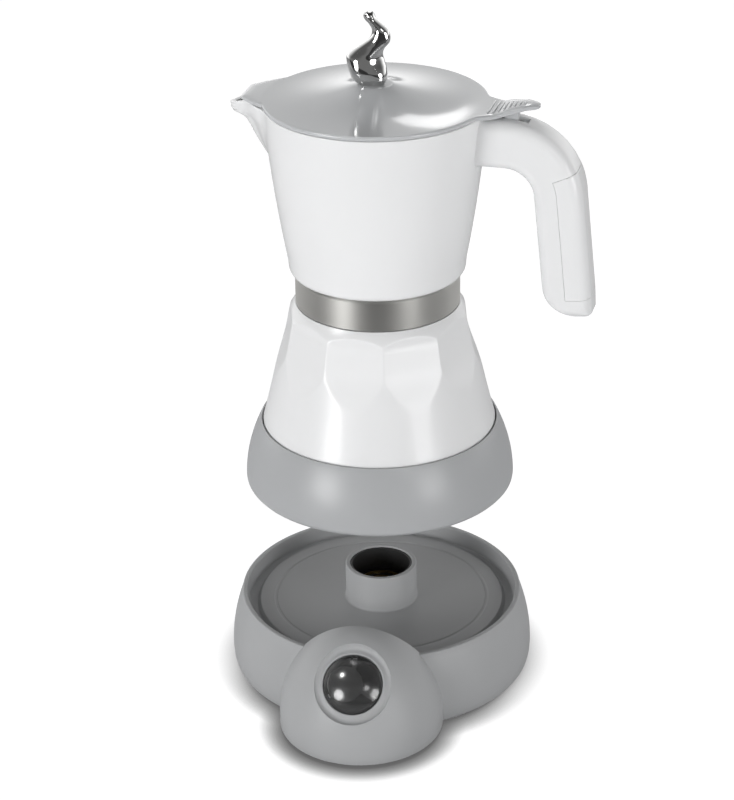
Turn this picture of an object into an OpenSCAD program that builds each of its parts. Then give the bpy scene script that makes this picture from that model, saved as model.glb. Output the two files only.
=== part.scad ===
// Electric moka pot: a round power base on the table and, lifted clear above its dish, the pot.
// Sizes in millimetres, +Z up. The origin lies on the table under the middle of the dish.
// The button faces -Y. The pot's spout points to -X and its handle to +X, turned by pot_turn.

/* [Power base] */
// Widest diameter of the base housing
base_d = 152; // [150:0.5:170]
// Height of the base's rim above the table
base_h = 40; // [38:0.5:44]
// Height of the widest place of the housing
base_belly_z = 10; // [6:0.5:14]
// Width of the rim around the dish
rim_w = 2.4; // [2.4:0.1:3.5]
// Wall of the housing
base_wall = 2.5; // [2:0.1:3]
// Gap between the pot's foot and the dish wall
dish_gap = 2; // [1.5:0.1:3]
// Depth of the seat below the rim
seat_depth = 5.8; // [5:0.1:8]
// Depth of the groove around the seat
groove_depth = 2.6; // [1:0.1:3.5]
// Width of the groove around the seat
groove_w = 6; // [4:0.5:9]
// Height of the rubber feet that shows under the housing
foot_h = 2; // [1.5:0.1:3]
// Diameter of a rubber foot
foot_d = 12; // [8:0.5:14]
// Radius of the circle that the feet of the round part stand on
foot_ring_r = 60; // [52:0.5:63]
// Thickness of the base's bottom cover
cover_t = 2.5; // [2:0.1:3.5]
// Radius of the circle of the cover's screws
base_screw_ring_r = 52; // [46:0.5:55]
// Shaft diameter of the cover's screws
base_screw_d = 3; // [2.5:0.1:4]

/* [Hub] */
// Outer diameter of the hub tube
hub_d = 35.8; // [34:0.1:38]
// Height of the hub above the seat
hub_h = 19.3; // [16:0.1:20]
// Wall of the hub tube
hub_wall = 2.2; // [2:0.1:2.6]
// Wall of the socket cup inside the hub
socket_wall = 1; // [0.8:0.1:1.4]
// Depth of the socket cup below the hub's rim
socket_depth = 12.5; // [11:0.1:13]

/* [Button] */
// Radius of the round hood that carries the button
hood_r = 40; // [38:0.5:42]
// Distance of the hood's centre in front of the dish's centre
hood_y = 66.5; // [64:0.5:70]
// Height of the widest place of the hood's round top
hood_z = 10; // [8:0.5:12]
// Rise of the hood's round top above its widest place
hood_h = 46.6; // [44:0.2:50]
// Angle of the button's axis above the horizontal
button_tilt = 40; // [36:1:46]
// Diameter of the button's lens
lens_d = 28.2; // [26:0.2:32]
// Width of the hollow ring around the lens
bezel_w = 4.1; // [3:0.1:5.5]
// Travel of the button
button_travel = 3; // [2:0.5:4]
// Wall of the lens
lens_wall = 1.6; // [1.2:0.1:2.2]
// Diameter of the disc behind the lens
core_d = 16.6; // [14:0.2:20]
// Diameter of the plunger behind the disc
plunger_d = 7; // [6:0.5:8]

/* [Pot] */
// Height of the pot's foot above its seated place
lift_h = 70; // [40:1:100]
// Turn of the pot on the base
pot_turn = -6; // [-180:1:180]
// Widest diameter of the grey skirt
skirt_d = 132; // [128:0.5:136]
// Height of the skirt
skirt_h = 32.7; // [31:0.1:36]
// Wall of the skirt
skirt_wall = 2.5; // [2:0.1:3]
// Diameter of the boiler where it meets the skirt
boiler_d = 113.6; // [112:0.2:115]
// Height of the boiler's shoulder above the pot's foot
shoulder_z = 94.6; // [92:0.2:98]
// Wall of the boiler
boiler_wall = 2.6; // [2:0.1:3]
// Number of facets around the boiler
facets = 10; // [8:1:12]
// Height of the filling neck above the shoulder
neck_h = 9.6; // [9:0.1:11]
// Running clearance between parts that turn or slide on each other
run_gap = 0.3; // [0.3:0.05:0.4]

/* [Jug] */
// Outer diameter of the steel collar
collar_d = 79; // [78:0.2:80]
// Thickness of the steel collar
collar_t = 1.1; // [0.8:0.1:1.3]
// Height of the jug's lower edge above the collar's
collar_h = 15.2; // [15:0.1:18]
// Height of the jug shell
jug_h = 82.9; // [70:0.5:90]
// Diameter of the jug just above its lower edge
jug_low_d = 84; // [83:0.5:88]
// Diameter of the jug at its rim
jug_top_d = 104.8; // [100:0.2:108]
// Outward bulge of the jug's side
jug_bulge = 1.1; // [0:0.1:2]
// Wall of the jug
jug_wall = 2.4; // [2:0.1:3]
// Distance of the spout's tip from the axis
spout_r = 71; // [66:0.5:74]
// Drop of the spout's tip below the rim
spout_drop = 4; // [2:0.5:6]

/* [Handle] */
// Thickness of the handle in the plane of the pot
handle_t = 23; // [21:0.5:25]
// Width of the handle across that plane
handle_w = 21; // [20:0.5:25]
// Radius of the handle's bend on its middle line
bend_r = 25.4; // [24:0.2:28]
// Distance of the bend's centre from the axis
bend_x = 62.5; // [60:0.5:66]
// Outward lean of the grip
grip_lean = 5.8; // [2:0.2:8]
// Length of the grip below the bend
grip_l = 60; // [50:0.5:64]
// Drop of the handle's crown below the jug's rim
crown_drop = 1.6; // [1.4:0.1:3]
// Wall of the hollow grip
grip_wall = 2.5; // [2:0.1:3.5]

/* [Lid] */
// Thickness of the lid
lid_t = 2; // [1.6:0.1:2.4]
// Rise of the lid from its edge to its middle
lid_rise = 7.2; // [5:0.2:9]
// Diameter of the raised middle under the knob
lid_boss_d = 16; // [14:0.5:20]
// Distance of the thumb tab's tip from the axis
tab_r = 78; // [74:0.5:80]
// Slope of the thumb tab
tab_slope = 15; // [12:0.5:18]
// Distance of the lid's pivot from the axis
pivot_x = 64.5; // [63:0.5:66]
// Depth of the lid's pivot below the handle's crown
pivot_drop = 3.2; // [3:0.1:4]
// Diameter of the hinge pin
pin_d = 2.5; // [2:0.1:3]
// Height of the knob
knob_h = 34.5; // [30:0.5:40]

/* [Hidden] */
$fn = 96;
// Small overlap that lets a cut run past the face it opens
over = 1;
// Face-to-face clearance between pieces that are fixed together
fit = 0.1;
// Overlap that fuses the runs of the handle, and the step between their surfaces
run_lap = 1;
run_step = 0.15;

// Colours, as the photograph shows them
housing_grey = [0.60, 0.61, 0.62];
shell_white = [0.93, 0.93, 0.94];
black_plastic = [0.10, 0.10, 0.10];
bare_steel = [0.75, 0.75, 0.76];
brass_yellow = [0.80, 0.65, 0.35];

// Power base
base_r = base_d / 2;
skirt_r = skirt_d / 2;
dish_r = skirt_r + dish_gap;
seat_z = base_h - seat_depth;
dish_floor_z = seat_z - groove_depth;
seat_r = dish_r - groove_w;
rim_top_r = dish_r + rim_w;
cover_z = foot_h + 0.4;
cover_top_z = cover_z + cover_t;
cover_gap = 0.2;
base_screw_angles = [54, 126, 206, 334];
base_screw_head_d = 2 * base_screw_d;
base_screw_head_h = 1.2;
base_screw_bite = 9.5;
screw_boss_d = base_screw_d + 5;
foot_angles = [18, 90, 162];
front_foot_x = 0.45 * hood_r;
front_foot_y = hood_y + hood_r - 16;
wall_steps = 10;
hood_steps = 12;
hood_round = 1.12;

// Hub and its socket
hub_r = hub_d / 2;
hub_top_z = seat_z + hub_h;
hub_bore_r = hub_r - hub_wall;
socket_r = hub_bore_r - 0.15;
socket_cup_r = socket_r - socket_wall;
socket_floor_z = hub_top_z - socket_depth;
socket_floor_t = 2;
socket_flange_r = hub_r + 1.5;
socket_flange_t = 2.4;
floor_under_z = dish_floor_z - base_wall;
contact_h = 0.6;
contact_w = 1.6;
contact_radii = [5.5, 10.5];
contact_pin_r = 1.6;

// Button on its tilted axis; heights there are counted from the point where the axis starts
axis_y = hood_y - 0.41 * (hood_h - hood_r);
axis_z = hood_z + 0.74 * (hood_h - hood_r);
lens_r = lens_d / 2;
lens_bore_r = lens_r + run_gap;
bezel_r = lens_r + 0.4 + bezel_w;
bezel_edge_a = sqrt(hood_r * hood_r - bezel_r * bezel_r) - 0.6;
lip_w = 0.8;
lip_a = bezel_edge_a + 1.3;
lens_edge_a = lip_a - 0.7;
lens_dome_h = 5;
lens_ball_r = (lens_r * lens_r + lens_dome_h * lens_dome_h) / (2 * lens_dome_h);
lens_skirt_l = 5;
guide_wall = 2;
guide_end_a = lens_edge_a - lens_skirt_l - button_travel - 1;
board_t = 1.6;
core_t = 1.6;
arm_w = 2;
arm_t = 1.2;
core_top_a = lens_edge_a;
core_shift = lens_r - lens_wall - core_d / 2 - 0.6;
switch_top_a = 18;
switch_h = 12;
switch_w = 20;
switch_d = 14;
spring_t = 1;
spring_in_r = plunger_d / 2 + 0.3;

// Cord entry at the back
grommet_z = 10.7;
grommet_r = 5.6;
cord_r = 3.1;
grommet_neck_r = grommet_r - 1.2;
grommet_flange_t = 2.2;
grommet_y = base_r - base_wall - grommet_flange_t - 0.9;
grommet_l = base_r + 1 - grommet_y;

// Pot, counted from its own foot
pot_z = seat_z + lift_h;
skirt_top_gap = run_gap;
skirt_edge_r = 1.8;
boiler_r = boiler_d / 2;
skirt_top_r = boiler_r + skirt_top_gap + 0.5;
pot_cover_t = 2.3;
pot_screw_angles = [30, 150, 270];
pot_screw_ring_r = 52;
pot_screw_d = 3;
pot_screw_head_h = 1.2;
pot_screw_bite = 9.7;
ledge_top_z = 26.8;
ledge_t = 2.5;
ledge_w = 8;
ledge_r = falling_r(skirt_r, skirt_edge_r, skirt_top_r, skirt_h, ledge_top_z) - 1;
boiler_floor_z = 29.8;
boiler_floor_t = 3.2;
boiler_rim_w = 7;
collar_r = collar_d / 2;
shoulder_r = collar_r + 0.1;
shoulder_bulge_r = shoulder_r + 5.4;
shoulder_bulge_z = shoulder_z - 9.6;
shoulder_pull_r = 1.1;
shoulder_pull_z = 4.7;
boiler_sag = 0.5;
facet_lean = atan(0.30);
facet_r = shoulder_bulge_r - 2.6;
neck_r = collar_r - 3.8;
neck_wall = 2.3;
neck_top_z = shoulder_z + neck_h;

// Coupler under the pot
coupler_in_r = hub_r + 1.1;
coupler_wall = 2;
coupler_r = coupler_in_r + coupler_wall;
coupler_roof_z = hub_h + 1.1;
coupler_roof_t = 3;
coupler_flange_w = 4.5;
coupler_flange_t = 2;
stem_r = socket_cup_r - 0.5;
stem_wall = 2;
stem_floor_t = 2;
stem_low_z = hub_h - socket_depth + 1;
cover_hole_r = coupler_r + run_gap;

// Terminal block in the base
terminal_w = 24;
terminal_d = 12;
terminal_h = 11;
terminal_y = 36;

// Heater
plate_edge_gap = 2.8;
plate_r = boiler_r - boiler_rim_w - plate_edge_gap;
plate_t = 4.6;
plate_z = boiler_floor_z - plate_t;
tube_r = 3.6;
tube_sink = 1;
tube_z = plate_z - tube_r + tube_sink;
tube_angle = 320;
terminal_l = 8;
stat_r = 6;
stat_h = 7;
stat_angle = 60;
fuse_r = 2;
fuse_l = 11;
fuse_angle = 215;
plate_screw_r = 1.5;
plate_screw_head_r = 2.3;
plate_screw_ring_r = plate_r - plate_screw_head_r - 0.5;
tube_ring_r = plate_screw_ring_r - tube_r - 2.6;
stat_ring_r = tube_ring_r - tube_r - 0.4 - stat_r;
plate_screw_angles = [90, 210, 330];
plate_screw_bite = 1.8;

// Funnel
funnel_wall = 0.9;
funnel_r = neck_r - neck_wall - 0.4;
funnel_flange_r = neck_r - 0.5;
funnel_flange_t = 0.8;
basket_h = 18;
funnel_cone_h = 11;
funnel_tube_r = 5;
funnel_tube_clear = 4;
sieve_hole_r = 1;

// Safety valve on the back facet
valve_z = 66;
valve_angle = 90;
valve_r = 4.4;
valve_hex_r = 6;
valve_hex_t = 3;
valve_out_l = 8;
valve_in_l = 3;
valve_pin_r = 1.35;
valve_chamber_r = 3;
valve_reach = boiler_wall + valve_in_l + valve_out_l;

// Jug, counted from the pot's foot
collar_z = shoulder_z + 0.4;
jug_z = collar_z + collar_h + 0.2;
jug_top_z = jug_z + jug_h;
jug_low_r = jug_low_d / 2;
jug_top_r = jug_top_d / 2;
jug_edge_r = 4;
jug_floor_t = 2.6;
spigot_r = 30;
thread_in_r = neck_r + run_gap;
thread_out_r = collar_r - collar_t - fit;
gasket_t = 2.5;
gasket_z = neck_top_z + funnel_flange_t + 0.2;
gasket_r = neck_r - 0.8;
gasket_in_r = 27;
filter_z = gasket_z + gasket_t + 0.1;
filter_t = 0.8;
filter_r = gasket_r - 0.5;
filter_hole_r = 0.8;
collector_z = filter_z + filter_t + fit;
collar_edge_r = 3;
collar_top_z = collar_z + collar_h;
collar_in_r = collar_r - collar_edge_r;
jug_floor_z = jug_z + jug_floor_t;
riser_flange_r = 33;
riser_flange_t = 1.5;
riser_low_r = 14;
riser_top_r = 8.5;
riser_wall = 1.6;
riser_top_z = jug_floor_z + 0.65 * jug_h;
cap_h = 7;
spout_h = 36;
spout_low_z = jug_top_z - spout_h;
spout_half_w = 22.8;
spout_root_r = jug_top_r - 5.4;
spout_mid_r = spout_r - 10.5;
spout_mid_half_w = 10.5;
spout_tip_r = 1.8;
spout_lip_h = 3.6;

// Handle
crown_z = jug_top_z - crown_drop;
bend_z = crown_z - handle_t / 2 - bend_r;
handle_corner_r = 9;
seam_angle = 24;
slot_w = 6;
slot_x0 = pivot_x - 6;
slot_x1 = pivot_x + 8;
slot_depth = 7.4;
handle_screw_r = 2;
handle_screw_head_r = 2 * handle_screw_r;
handle_screw_head_h = 1.6;
handle_screw_z = crown_z - handle_t / 2 - 2;
root_screw_l = 14;
root_in_x = jug_r_at(handle_screw_z - handle_screw_head_r) - jug_wall;
root_x = root_in_x + 0.2;
handle_screw_x = root_in_x - handle_screw_head_h - 0.3;
handle_screw_l = root_x + root_screw_l - handle_screw_x - 0.3;
tip_ball_r = 19;
tip_shift = 4.5;
cover_l = grip_l - 9.6;

// Lid
lid_z = jug_top_z + run_gap;
lid_r = jug_top_r + 0.2;
lid_edge_h = lid_t;
lid_boss_r = lid_boss_d / 2;
lid_top_z = lid_z + lid_edge_h + lid_rise;
lid_curve = 2.2;
lid_lip_h = 3;
lid_lip_t = 1.6;
lid_lip_r = jug_top_r - jug_wall - 0.8;
pivot_z = crown_z - pivot_drop;
lug_r = 3.2;
lug_w = slot_w - 2 * run_gap;
pin_r = pin_d / 2;
pin_half_l = 7.6;
tab_t = 2.6;
tab_root_r = lid_r - 3.6;
tab_half_w = 14;
tab_knee_r = lid_r + 5.9;
tab_knee_half_w = 11.5;
tab_tip_r = 4.2;
flap_r = spout_mid_r + 2.3;
flap_half_w = 9.2;
flap_root_r = lid_r - 8.6;
flap_root_half_w = 24;
knob_screw_r = 1.5;
knob_screw_head_h = 1.7;
knob_screw_bite = 7.2;
lug_top_z = lid_z + lid_t + (pivot_x - tab_knee_r) * tan(tab_slope) - 1.6;

// Angle between the copies of a ring of n
function part_angle(n) = 360 / n;

// Arc of points around (cx, cy), in degrees
function arc(cx, cy, r, a0, a1, n) =
    [for (i = [0:n]) let (a = a0 + (a1 - a0) * i / n) [cx + r * cos(a), cy + r * sin(a)]];

// Side that falls away as a parabola from the radius r0 at z0 to r1 at z1
function falling_side(r0, z0, r1, z1, n) =
    [for (i = [0:n]) let (t = i / n) [r0 - (r0 - r1) * t * t, z0 + (z1 - z0) * t]];

// Radius of that side at the height z
function falling_r(r0, z0, r1, z1, z) = r0 - (r0 - r1) * pow((z - z0) / (z1 - z0), 2);

// Straight side from (r0, z0) to (r1, z1) that bows out by bow in its middle
function bowed_side(r0, z0, r1, z1, bow, n) =
    [for (i = [0:n]) let (t = i / n) [r0 + (r1 - r0) * t + 4 * bow * t * (1 - t), z0 + (z1 - z0) * t]];

// Outer radius of the jug at the height z
function jug_r_at(z) = let (t = (z - jug_z - jug_edge_r) / (jug_h - jug_edge_r))
    jug_low_r + (jug_top_r - jug_low_r) * t + 4 * jug_bulge * t * (1 - t);

// Curve from p0 to p2 that is pulled towards p1
function pulled_curve(p0, p1, p2, n) =
    [for (i = [0:n]) let (t = i / n) (1 - t) * (1 - t) * p0 + 2 * t * (1 - t) * p1 + t * t * p2];

// The whole pot's place above the base
module in_pot() {
    translate([0, 0, pot_z]) rotate([0, 0, pot_turn]) children();
}

// The button's axis: +Z runs out through the lens
module on_button_axis() {
    translate([0, -axis_y, axis_z]) rotate([90 - button_tilt, 0, 0]) children();
}

// Flat ring
module ring(r_out, r_in, h) {
    difference() {
        cylinder(r = r_out, h = h);
        translate([0, 0, -over]) cylinder(r = r_in, h = h + 2 * over);
    }
}

// Copies of children on a ring
module around(r, angles) {
    for (a = angles) rotate([0, 0, a]) translate([r, 0, 0]) children();
}

// Screw with a flat head below z = 0 and its shaft upwards
module screw(shaft_r, head_r, head_h, shaft_l) {
    cylinder(r = head_r, h = head_h);
    cylinder(r = shaft_r, h = shaft_l);
}

// Outline of the base, with the round hood at its front, drawn in by inset
module base_outline(inset) {
    circle(r = base_r - inset);
    translate([0, -hood_y]) circle(r = hood_r - inset);
}

// Round part of the base's outer skin
module base_body_skin() {
    side = falling_side(base_r, base_belly_z, rim_top_r, base_h - 1, wall_steps);
    rotate_extrude() polygon(concat(
        [[0, foot_h], [base_r - 2, foot_h], [base_r - 0.6, foot_h + 1.4]],
        side,
        arc(rim_top_r - 1, base_h - 1, 1, 0, 90, 3),
        [[0, base_h]]));
}

// Hood skin: an upright round side under a tall round top, drawn in by inset
module hood_skin(inset, low_z) {
    top = [for (i = [0:hood_steps]) let (a = 90 * i / hood_steps)
        [(hood_r - inset) * pow(cos(a), hood_round), hood_z + (hood_h - inset) * pow(sin(a), hood_round)]];
    translate([0, -hood_y, 0]) rotate_extrude() polygon(concat([[0, low_z], [hood_r - inset, low_z]], top));
}

// Space of the dish above its floor, with the raised seat
module dish_space() {
    rotate_extrude() polygon([
        [0, seat_z], [seat_r - 1, seat_z], [seat_r, seat_z - 0.5], [seat_r + 1, dish_floor_z],
        [dish_r - 0.8, dish_floor_z], [dish_r - 0.2, base_h - 1.5], [dish_r, base_h], [dish_r, 3 * base_h],
        [0, 3 * base_h]]);
}

// Hollow underside of the round part
module base_hollow() {
    wall = base_wall;
    side = falling_side(base_r - wall, base_belly_z, dish_r + rim_w - wall - 0.2, floor_under_z, wall_steps);
    rotate_extrude() polygon(concat(
        [[0, foot_h - over], [base_r - wall, foot_h - over]], side, [[0, floor_under_z]]));
}

// Hollow ring and bore of the button
module bezel_cut() {
    rotate_extrude() polygon([
        [0, lip_a], [lens_bore_r + lip_w, lip_a], [lens_bore_r + 2 * lip_w, lip_a - 1.8],
        [bezel_r - 1.4, bezel_edge_a - 0.6], [bezel_r, bezel_edge_a], [bezel_r, 2 * hood_r],
        [0, 2 * hood_r]]);
    cylinder(r = lens_bore_r, h = 2 * hood_r);
}

module base_housing() {
    color(housing_grey) difference() {
        union() {
            difference() {
                union() {
                    base_body_skin();
                    hood_skin(0, foot_h);
                }
                dish_space();
                difference() {
                    union() {
                        base_hollow();
                        difference() {
                            hood_skin(base_wall, foot_h - over);
                            translate([0, 0, floor_under_z]) cylinder(r = dish_r + base_wall, h = base_h);
                        }
                    }
                    on_button_axis() translate([0, 0, guide_end_a])
                        cylinder(r = lens_bore_r + guide_wall, h = hood_r);
                }
            }
            translate([0, 0, floor_under_z]) cylinder(r = hub_r, h = hub_top_z - floor_under_z);
            around(base_screw_ring_r, base_screw_angles) translate([0, 0, cover_top_z])
                cylinder(d = screw_boss_d, h = floor_under_z - cover_top_z + over);
        }
        translate([0, 0, floor_under_z - over]) cylinder(r = hub_bore_r, h = hub_top_z);
        on_button_axis() bezel_cut();
        around(base_screw_ring_r, base_screw_angles) translate([0, 0, cover_top_z - over])
            cylinder(d = base_screw_d, h = base_screw_bite + 3 + over);
        translate([0, base_r + over, grommet_z]) rotate([90, 0, 0])
            cylinder(r = grommet_neck_r + fit, h = 2 * grommet_r);
    }
}

module base_bottom_cover() {
    color(black_plastic) difference() {
        translate([0, 0, cover_z]) linear_extrude(cover_t) base_outline(base_wall + cover_gap + 0.4);
        around(base_screw_ring_r, base_screw_angles) translate([0, 0, cover_z - over]) {
            cylinder(d = base_screw_d + 0.4, h = cover_t + 2 * over);
            cylinder(d = base_screw_head_d + 0.6, h = base_screw_head_h + over);
        }
        feet_places() translate([0, 0, -over]) cylinder(d = foot_d - 4, h = 4 * cover_t);
    }
}

// Places of the feet
module feet_places() {
    around(foot_ring_r, foot_angles) children();
    for (x = [-front_foot_x, front_foot_x]) translate([x, -front_foot_y, 0]) children();
}

module rubber_feet() {
    color(black_plastic) feet_places() {
        cylinder(d = foot_d, h = cover_z);
        cylinder(d = foot_d - 4.2, h = cover_top_z);
    }
}

module base_screws() {
    color(bare_steel) around(base_screw_ring_r, base_screw_angles) translate([0, 0, cover_z])
        screw(base_screw_d / 2 - 0.05, base_screw_head_d / 2, base_screw_head_h, cover_t + base_screw_bite);
}

// Socket cup in the hub, with a flange under the dish
module hub_connector() {
    color(black_plastic) difference() {
        union() {
            translate([0, 0, floor_under_z - socket_flange_t])
                cylinder(r = socket_flange_r, h = socket_flange_t);
            translate([0, 0, floor_under_z - socket_flange_t])
                cylinder(r = socket_r, h = hub_top_z - 1 - floor_under_z + socket_flange_t);
        }
        translate([0, 0, socket_floor_z]) cylinder(r = socket_cup_r, h = hub_h);
        translate([0, 0, floor_under_z - socket_flange_t - over])
            cylinder(r = socket_cup_r - 1,
                h = socket_floor_z - socket_floor_t - floor_under_z + socket_flange_t + over);
    }
}

// Flat contact rings and a middle pin, from z up
module contacts(z, h, pin_h) {
    translate([0, 0, z]) {
        for (r = contact_radii) ring(r + contact_w / 2, r - contact_w / 2, h);
        cylinder(r = contact_pin_r, h = pin_h);
    }
}

module hub_contacts() {
    color(brass_yellow) contacts(socket_floor_z, contact_h, contact_h);
}

// Wedge on the bottom cover that carries the switch square to the button's axis
module switch_holder() {
    low_a = switch_top_a - switch_h;
    y0 = -axis_y - low_a * cos(button_tilt);
    z0 = axis_z + low_a * sin(button_tilt);
    dy = switch_d / 2 * sin(button_tilt);
    dz = switch_d / 2 * cos(button_tilt);
    color(black_plastic) translate([-switch_w / 2, 0, 0]) rotate([90, 0, 90]) linear_extrude(switch_w)
        polygon([[y0 - dy, cover_top_z], [y0 - dy, z0 - dz], [y0 + dy, z0 + dz], [y0 + dy, cover_top_z]]);
}

module power_switch() {
    color(shell_white) on_button_axis() translate([0, 0, switch_top_a - switch_h / 2])
        cube([switch_w, switch_d, switch_h], center = true);
}

// Ring board under the button's guide, with its lamps, clear of the dish wall
module indicator_board() {
    board_r = lens_bore_r + guide_wall;
    color([0.15, 0.35, 0.2]) difference() {
        on_button_axis() translate([0, 0, guide_end_a - board_t]) {
            ring(board_r, plunger_d / 2 + spring_t + 1.2, board_t);
            around(lens_r - 4.2, [0, 180]) cylinder(r = 1.8, h = board_t + 2.4);
        }
        cylinder(r = dish_r + base_wall + run_gap, h = 2 * base_h);
    }
}

module button_spring() {
    color(bare_steel) on_button_axis() translate([0, 0, switch_top_a + fit])
        ring(spring_in_r + spring_t, spring_in_r, core_top_a - core_t - switch_top_a - 2 * fit);
}

module terminal_block() {
    color(shell_white) translate([-terminal_w / 2, terminal_y, cover_top_z])
        cube([terminal_w, terminal_d, terminal_h]);
}

// Rubber ring in the back wall, where the cord leaves
module cord_grommet() {
    color(black_plastic) translate([0, grommet_y, grommet_z]) rotate([-90, 0, 0]) difference() {
        union() {
            cylinder(r = grommet_neck_r, h = grommet_l);
            cylinder(r = grommet_r, h = grommet_flange_t);
        }
        translate([0, 0, -over]) cylinder(r = cord_r, h = grommet_l + 2 * over);
    }
}

// Domed lens with a short skirt
module button_lens() {
    inner_r = lens_r - lens_wall;
    color([0.12, 0.12, 0.13, 0.8]) on_button_axis() difference() {
        union() {
            intersection() {
                translate([0, 0, lens_edge_a + lens_dome_h - lens_ball_r]) sphere(r = lens_ball_r);
                translate([0, 0, lens_edge_a]) cylinder(r = lens_r, h = 2 * lens_dome_h);
            }
            translate([0, 0, lens_edge_a - lens_skirt_l]) cylinder(r = lens_r, h = lens_skirt_l);
        }
        translate([0, 0, lens_edge_a - lens_skirt_l - over]) cylinder(r = inner_r, h = lens_skirt_l + over);
        intersection() {
            translate([0, 0, lens_edge_a + lens_dome_h - lens_ball_r]) sphere(r = lens_ball_r - lens_wall);
            translate([0, 0, lens_edge_a - over]) cylinder(r = inner_r, h = 2 * lens_dome_h);
        }
    }
}

// Disc behind the lens on the plunger that works the switch, held by three arms in the lens
module button_core() {
    color(shell_white) on_button_axis() {
        translate([-core_shift, 0, core_top_a - core_t]) cylinder(r = core_d / 2, h = core_t);
        translate([0, 0, switch_top_a + button_travel + 0.2])
            cylinder(r = plunger_d / 2, h = core_top_a - core_t / 2 - switch_top_a - button_travel - 0.2);
        for (a = [90, 210, 330]) rotate([0, 0, a])
            translate([plunger_d / 2 - over, -arm_w / 2, core_top_a - core_t + fit])
                cube([lens_r - lens_wall - fit - plunger_d / 2 + over, arm_w, arm_t]);
    }
}

// Round plug under the pot: a cup over the hub and a stem into its socket
module coupler_body() {
    color(black_plastic) in_pot() {
        translate([0, 0, 0.6]) ring(coupler_r, coupler_in_r, coupler_roof_z);
        translate([0, 0, coupler_roof_z]) cylinder(r = coupler_r, h = coupler_roof_t);
        translate([0, 0, pot_cover_t + 0.2])
            ring(coupler_r + coupler_flange_w, coupler_in_r, coupler_flange_t);
        translate([0, 0, stem_low_z]) {
            ring(stem_r, stem_r - stem_wall, coupler_roof_z - stem_low_z + over);
            cylinder(r = stem_r, h = stem_floor_t);
        }
    }
}

module coupler_contacts() {
    color(brass_yellow) in_pot() contacts(stem_low_z - 0.2, 0.2, 0.2);
}

// Grey shell around the pot's foot
module pot_skirt() {
    side = falling_side(skirt_r, skirt_edge_r, skirt_top_r, skirt_h, wall_steps);
    wall_r = skirt_r - skirt_wall;
    inner = falling_side(wall_r, skirt_edge_r, boiler_r + skirt_top_gap, skirt_h, wall_steps);
    post_h = ledge_top_z - ledge_t - pot_cover_t + over;
    color(housing_grey) in_pot() difference() {
        union() {
            difference() {
                rotate_extrude() polygon(concat(
                    [[0, 0]], arc(skirt_r - skirt_edge_r, skirt_edge_r, skirt_edge_r, -90, 0, 4), side,
                    [[0, skirt_h]]));
                rotate_extrude() polygon(concat([[0, -over], [wall_r, -over]], inner,
                    [[boiler_r + skirt_top_gap, skirt_h + over], [0, skirt_h + over]]));
            }
            translate([0, 0, ledge_top_z - ledge_t]) ring(ledge_r, boiler_r - ledge_w, ledge_t);
            around(pot_screw_ring_r, pot_screw_angles) translate([0, 0, pot_cover_t])
                cylinder(r = 4, h = post_h);
        }
        around(pot_screw_ring_r, pot_screw_angles) translate([0, 0, -over])
            cylinder(d = pot_screw_d, h = pot_cover_t + pot_screw_bite + 2 + over);
    }
}

module pot_bottom_cover() {
    color(black_plastic) in_pot() difference() {
        cylinder(r = skirt_r - skirt_wall - 0.2, h = pot_cover_t);
        translate([0, 0, -over]) cylinder(r = cover_hole_r, h = pot_cover_t + 2 * over);
        around(pot_screw_ring_r, pot_screw_angles) translate([0, 0, -over]) {
            cylinder(d = pot_screw_d + 0.4, h = pot_cover_t + 2 * over);
            cylinder(d = 2 * pot_screw_d + 0.6, h = pot_screw_head_h + over);
        }
    }
}

module pot_bottom_screws() {
    color(bare_steel) in_pot() around(pot_screw_ring_r, pot_screw_angles)
        screw(pot_screw_d / 2 - 0.05, pot_screw_d, pot_screw_head_h, pot_cover_t + pot_screw_bite);
}

// Outer side of the boiler, from the skirt up over its shoulder
function boiler_side(inset) = concat(
    bowed_side(boiler_r - inset, skirt_h, shoulder_bulge_r - inset, shoulder_bulge_z, -boiler_sag, 8),
    pulled_curve([shoulder_bulge_r - inset, shoulder_bulge_z],
        [shoulder_bulge_r - shoulder_pull_r - inset, shoulder_z - shoulder_pull_z - inset],
        [shoulder_r - inset, shoulder_z - inset], 6));

// Flat faces cut around the boiler
module facet_cuts() {
    for (i = [0:facets - 1]) rotate([0, 0, part_angle(facets) * (i + 0.5)])
        translate([facet_r, 0, shoulder_bulge_z]) rotate([0, -facet_lean, 0])
            translate([0, -boiler_r, -boiler_r]) cube([boiler_r, 2 * boiler_r, 2 * boiler_r]);
}

module on_valve_axis() {
    d = facet_r + (shoulder_bulge_z - valve_z) * tan(facet_lean);
    rotate([0, 0, valve_angle]) translate([d, 0, valve_z]) rotate([0, 90 - facet_lean, 0]) children();
}

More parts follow.
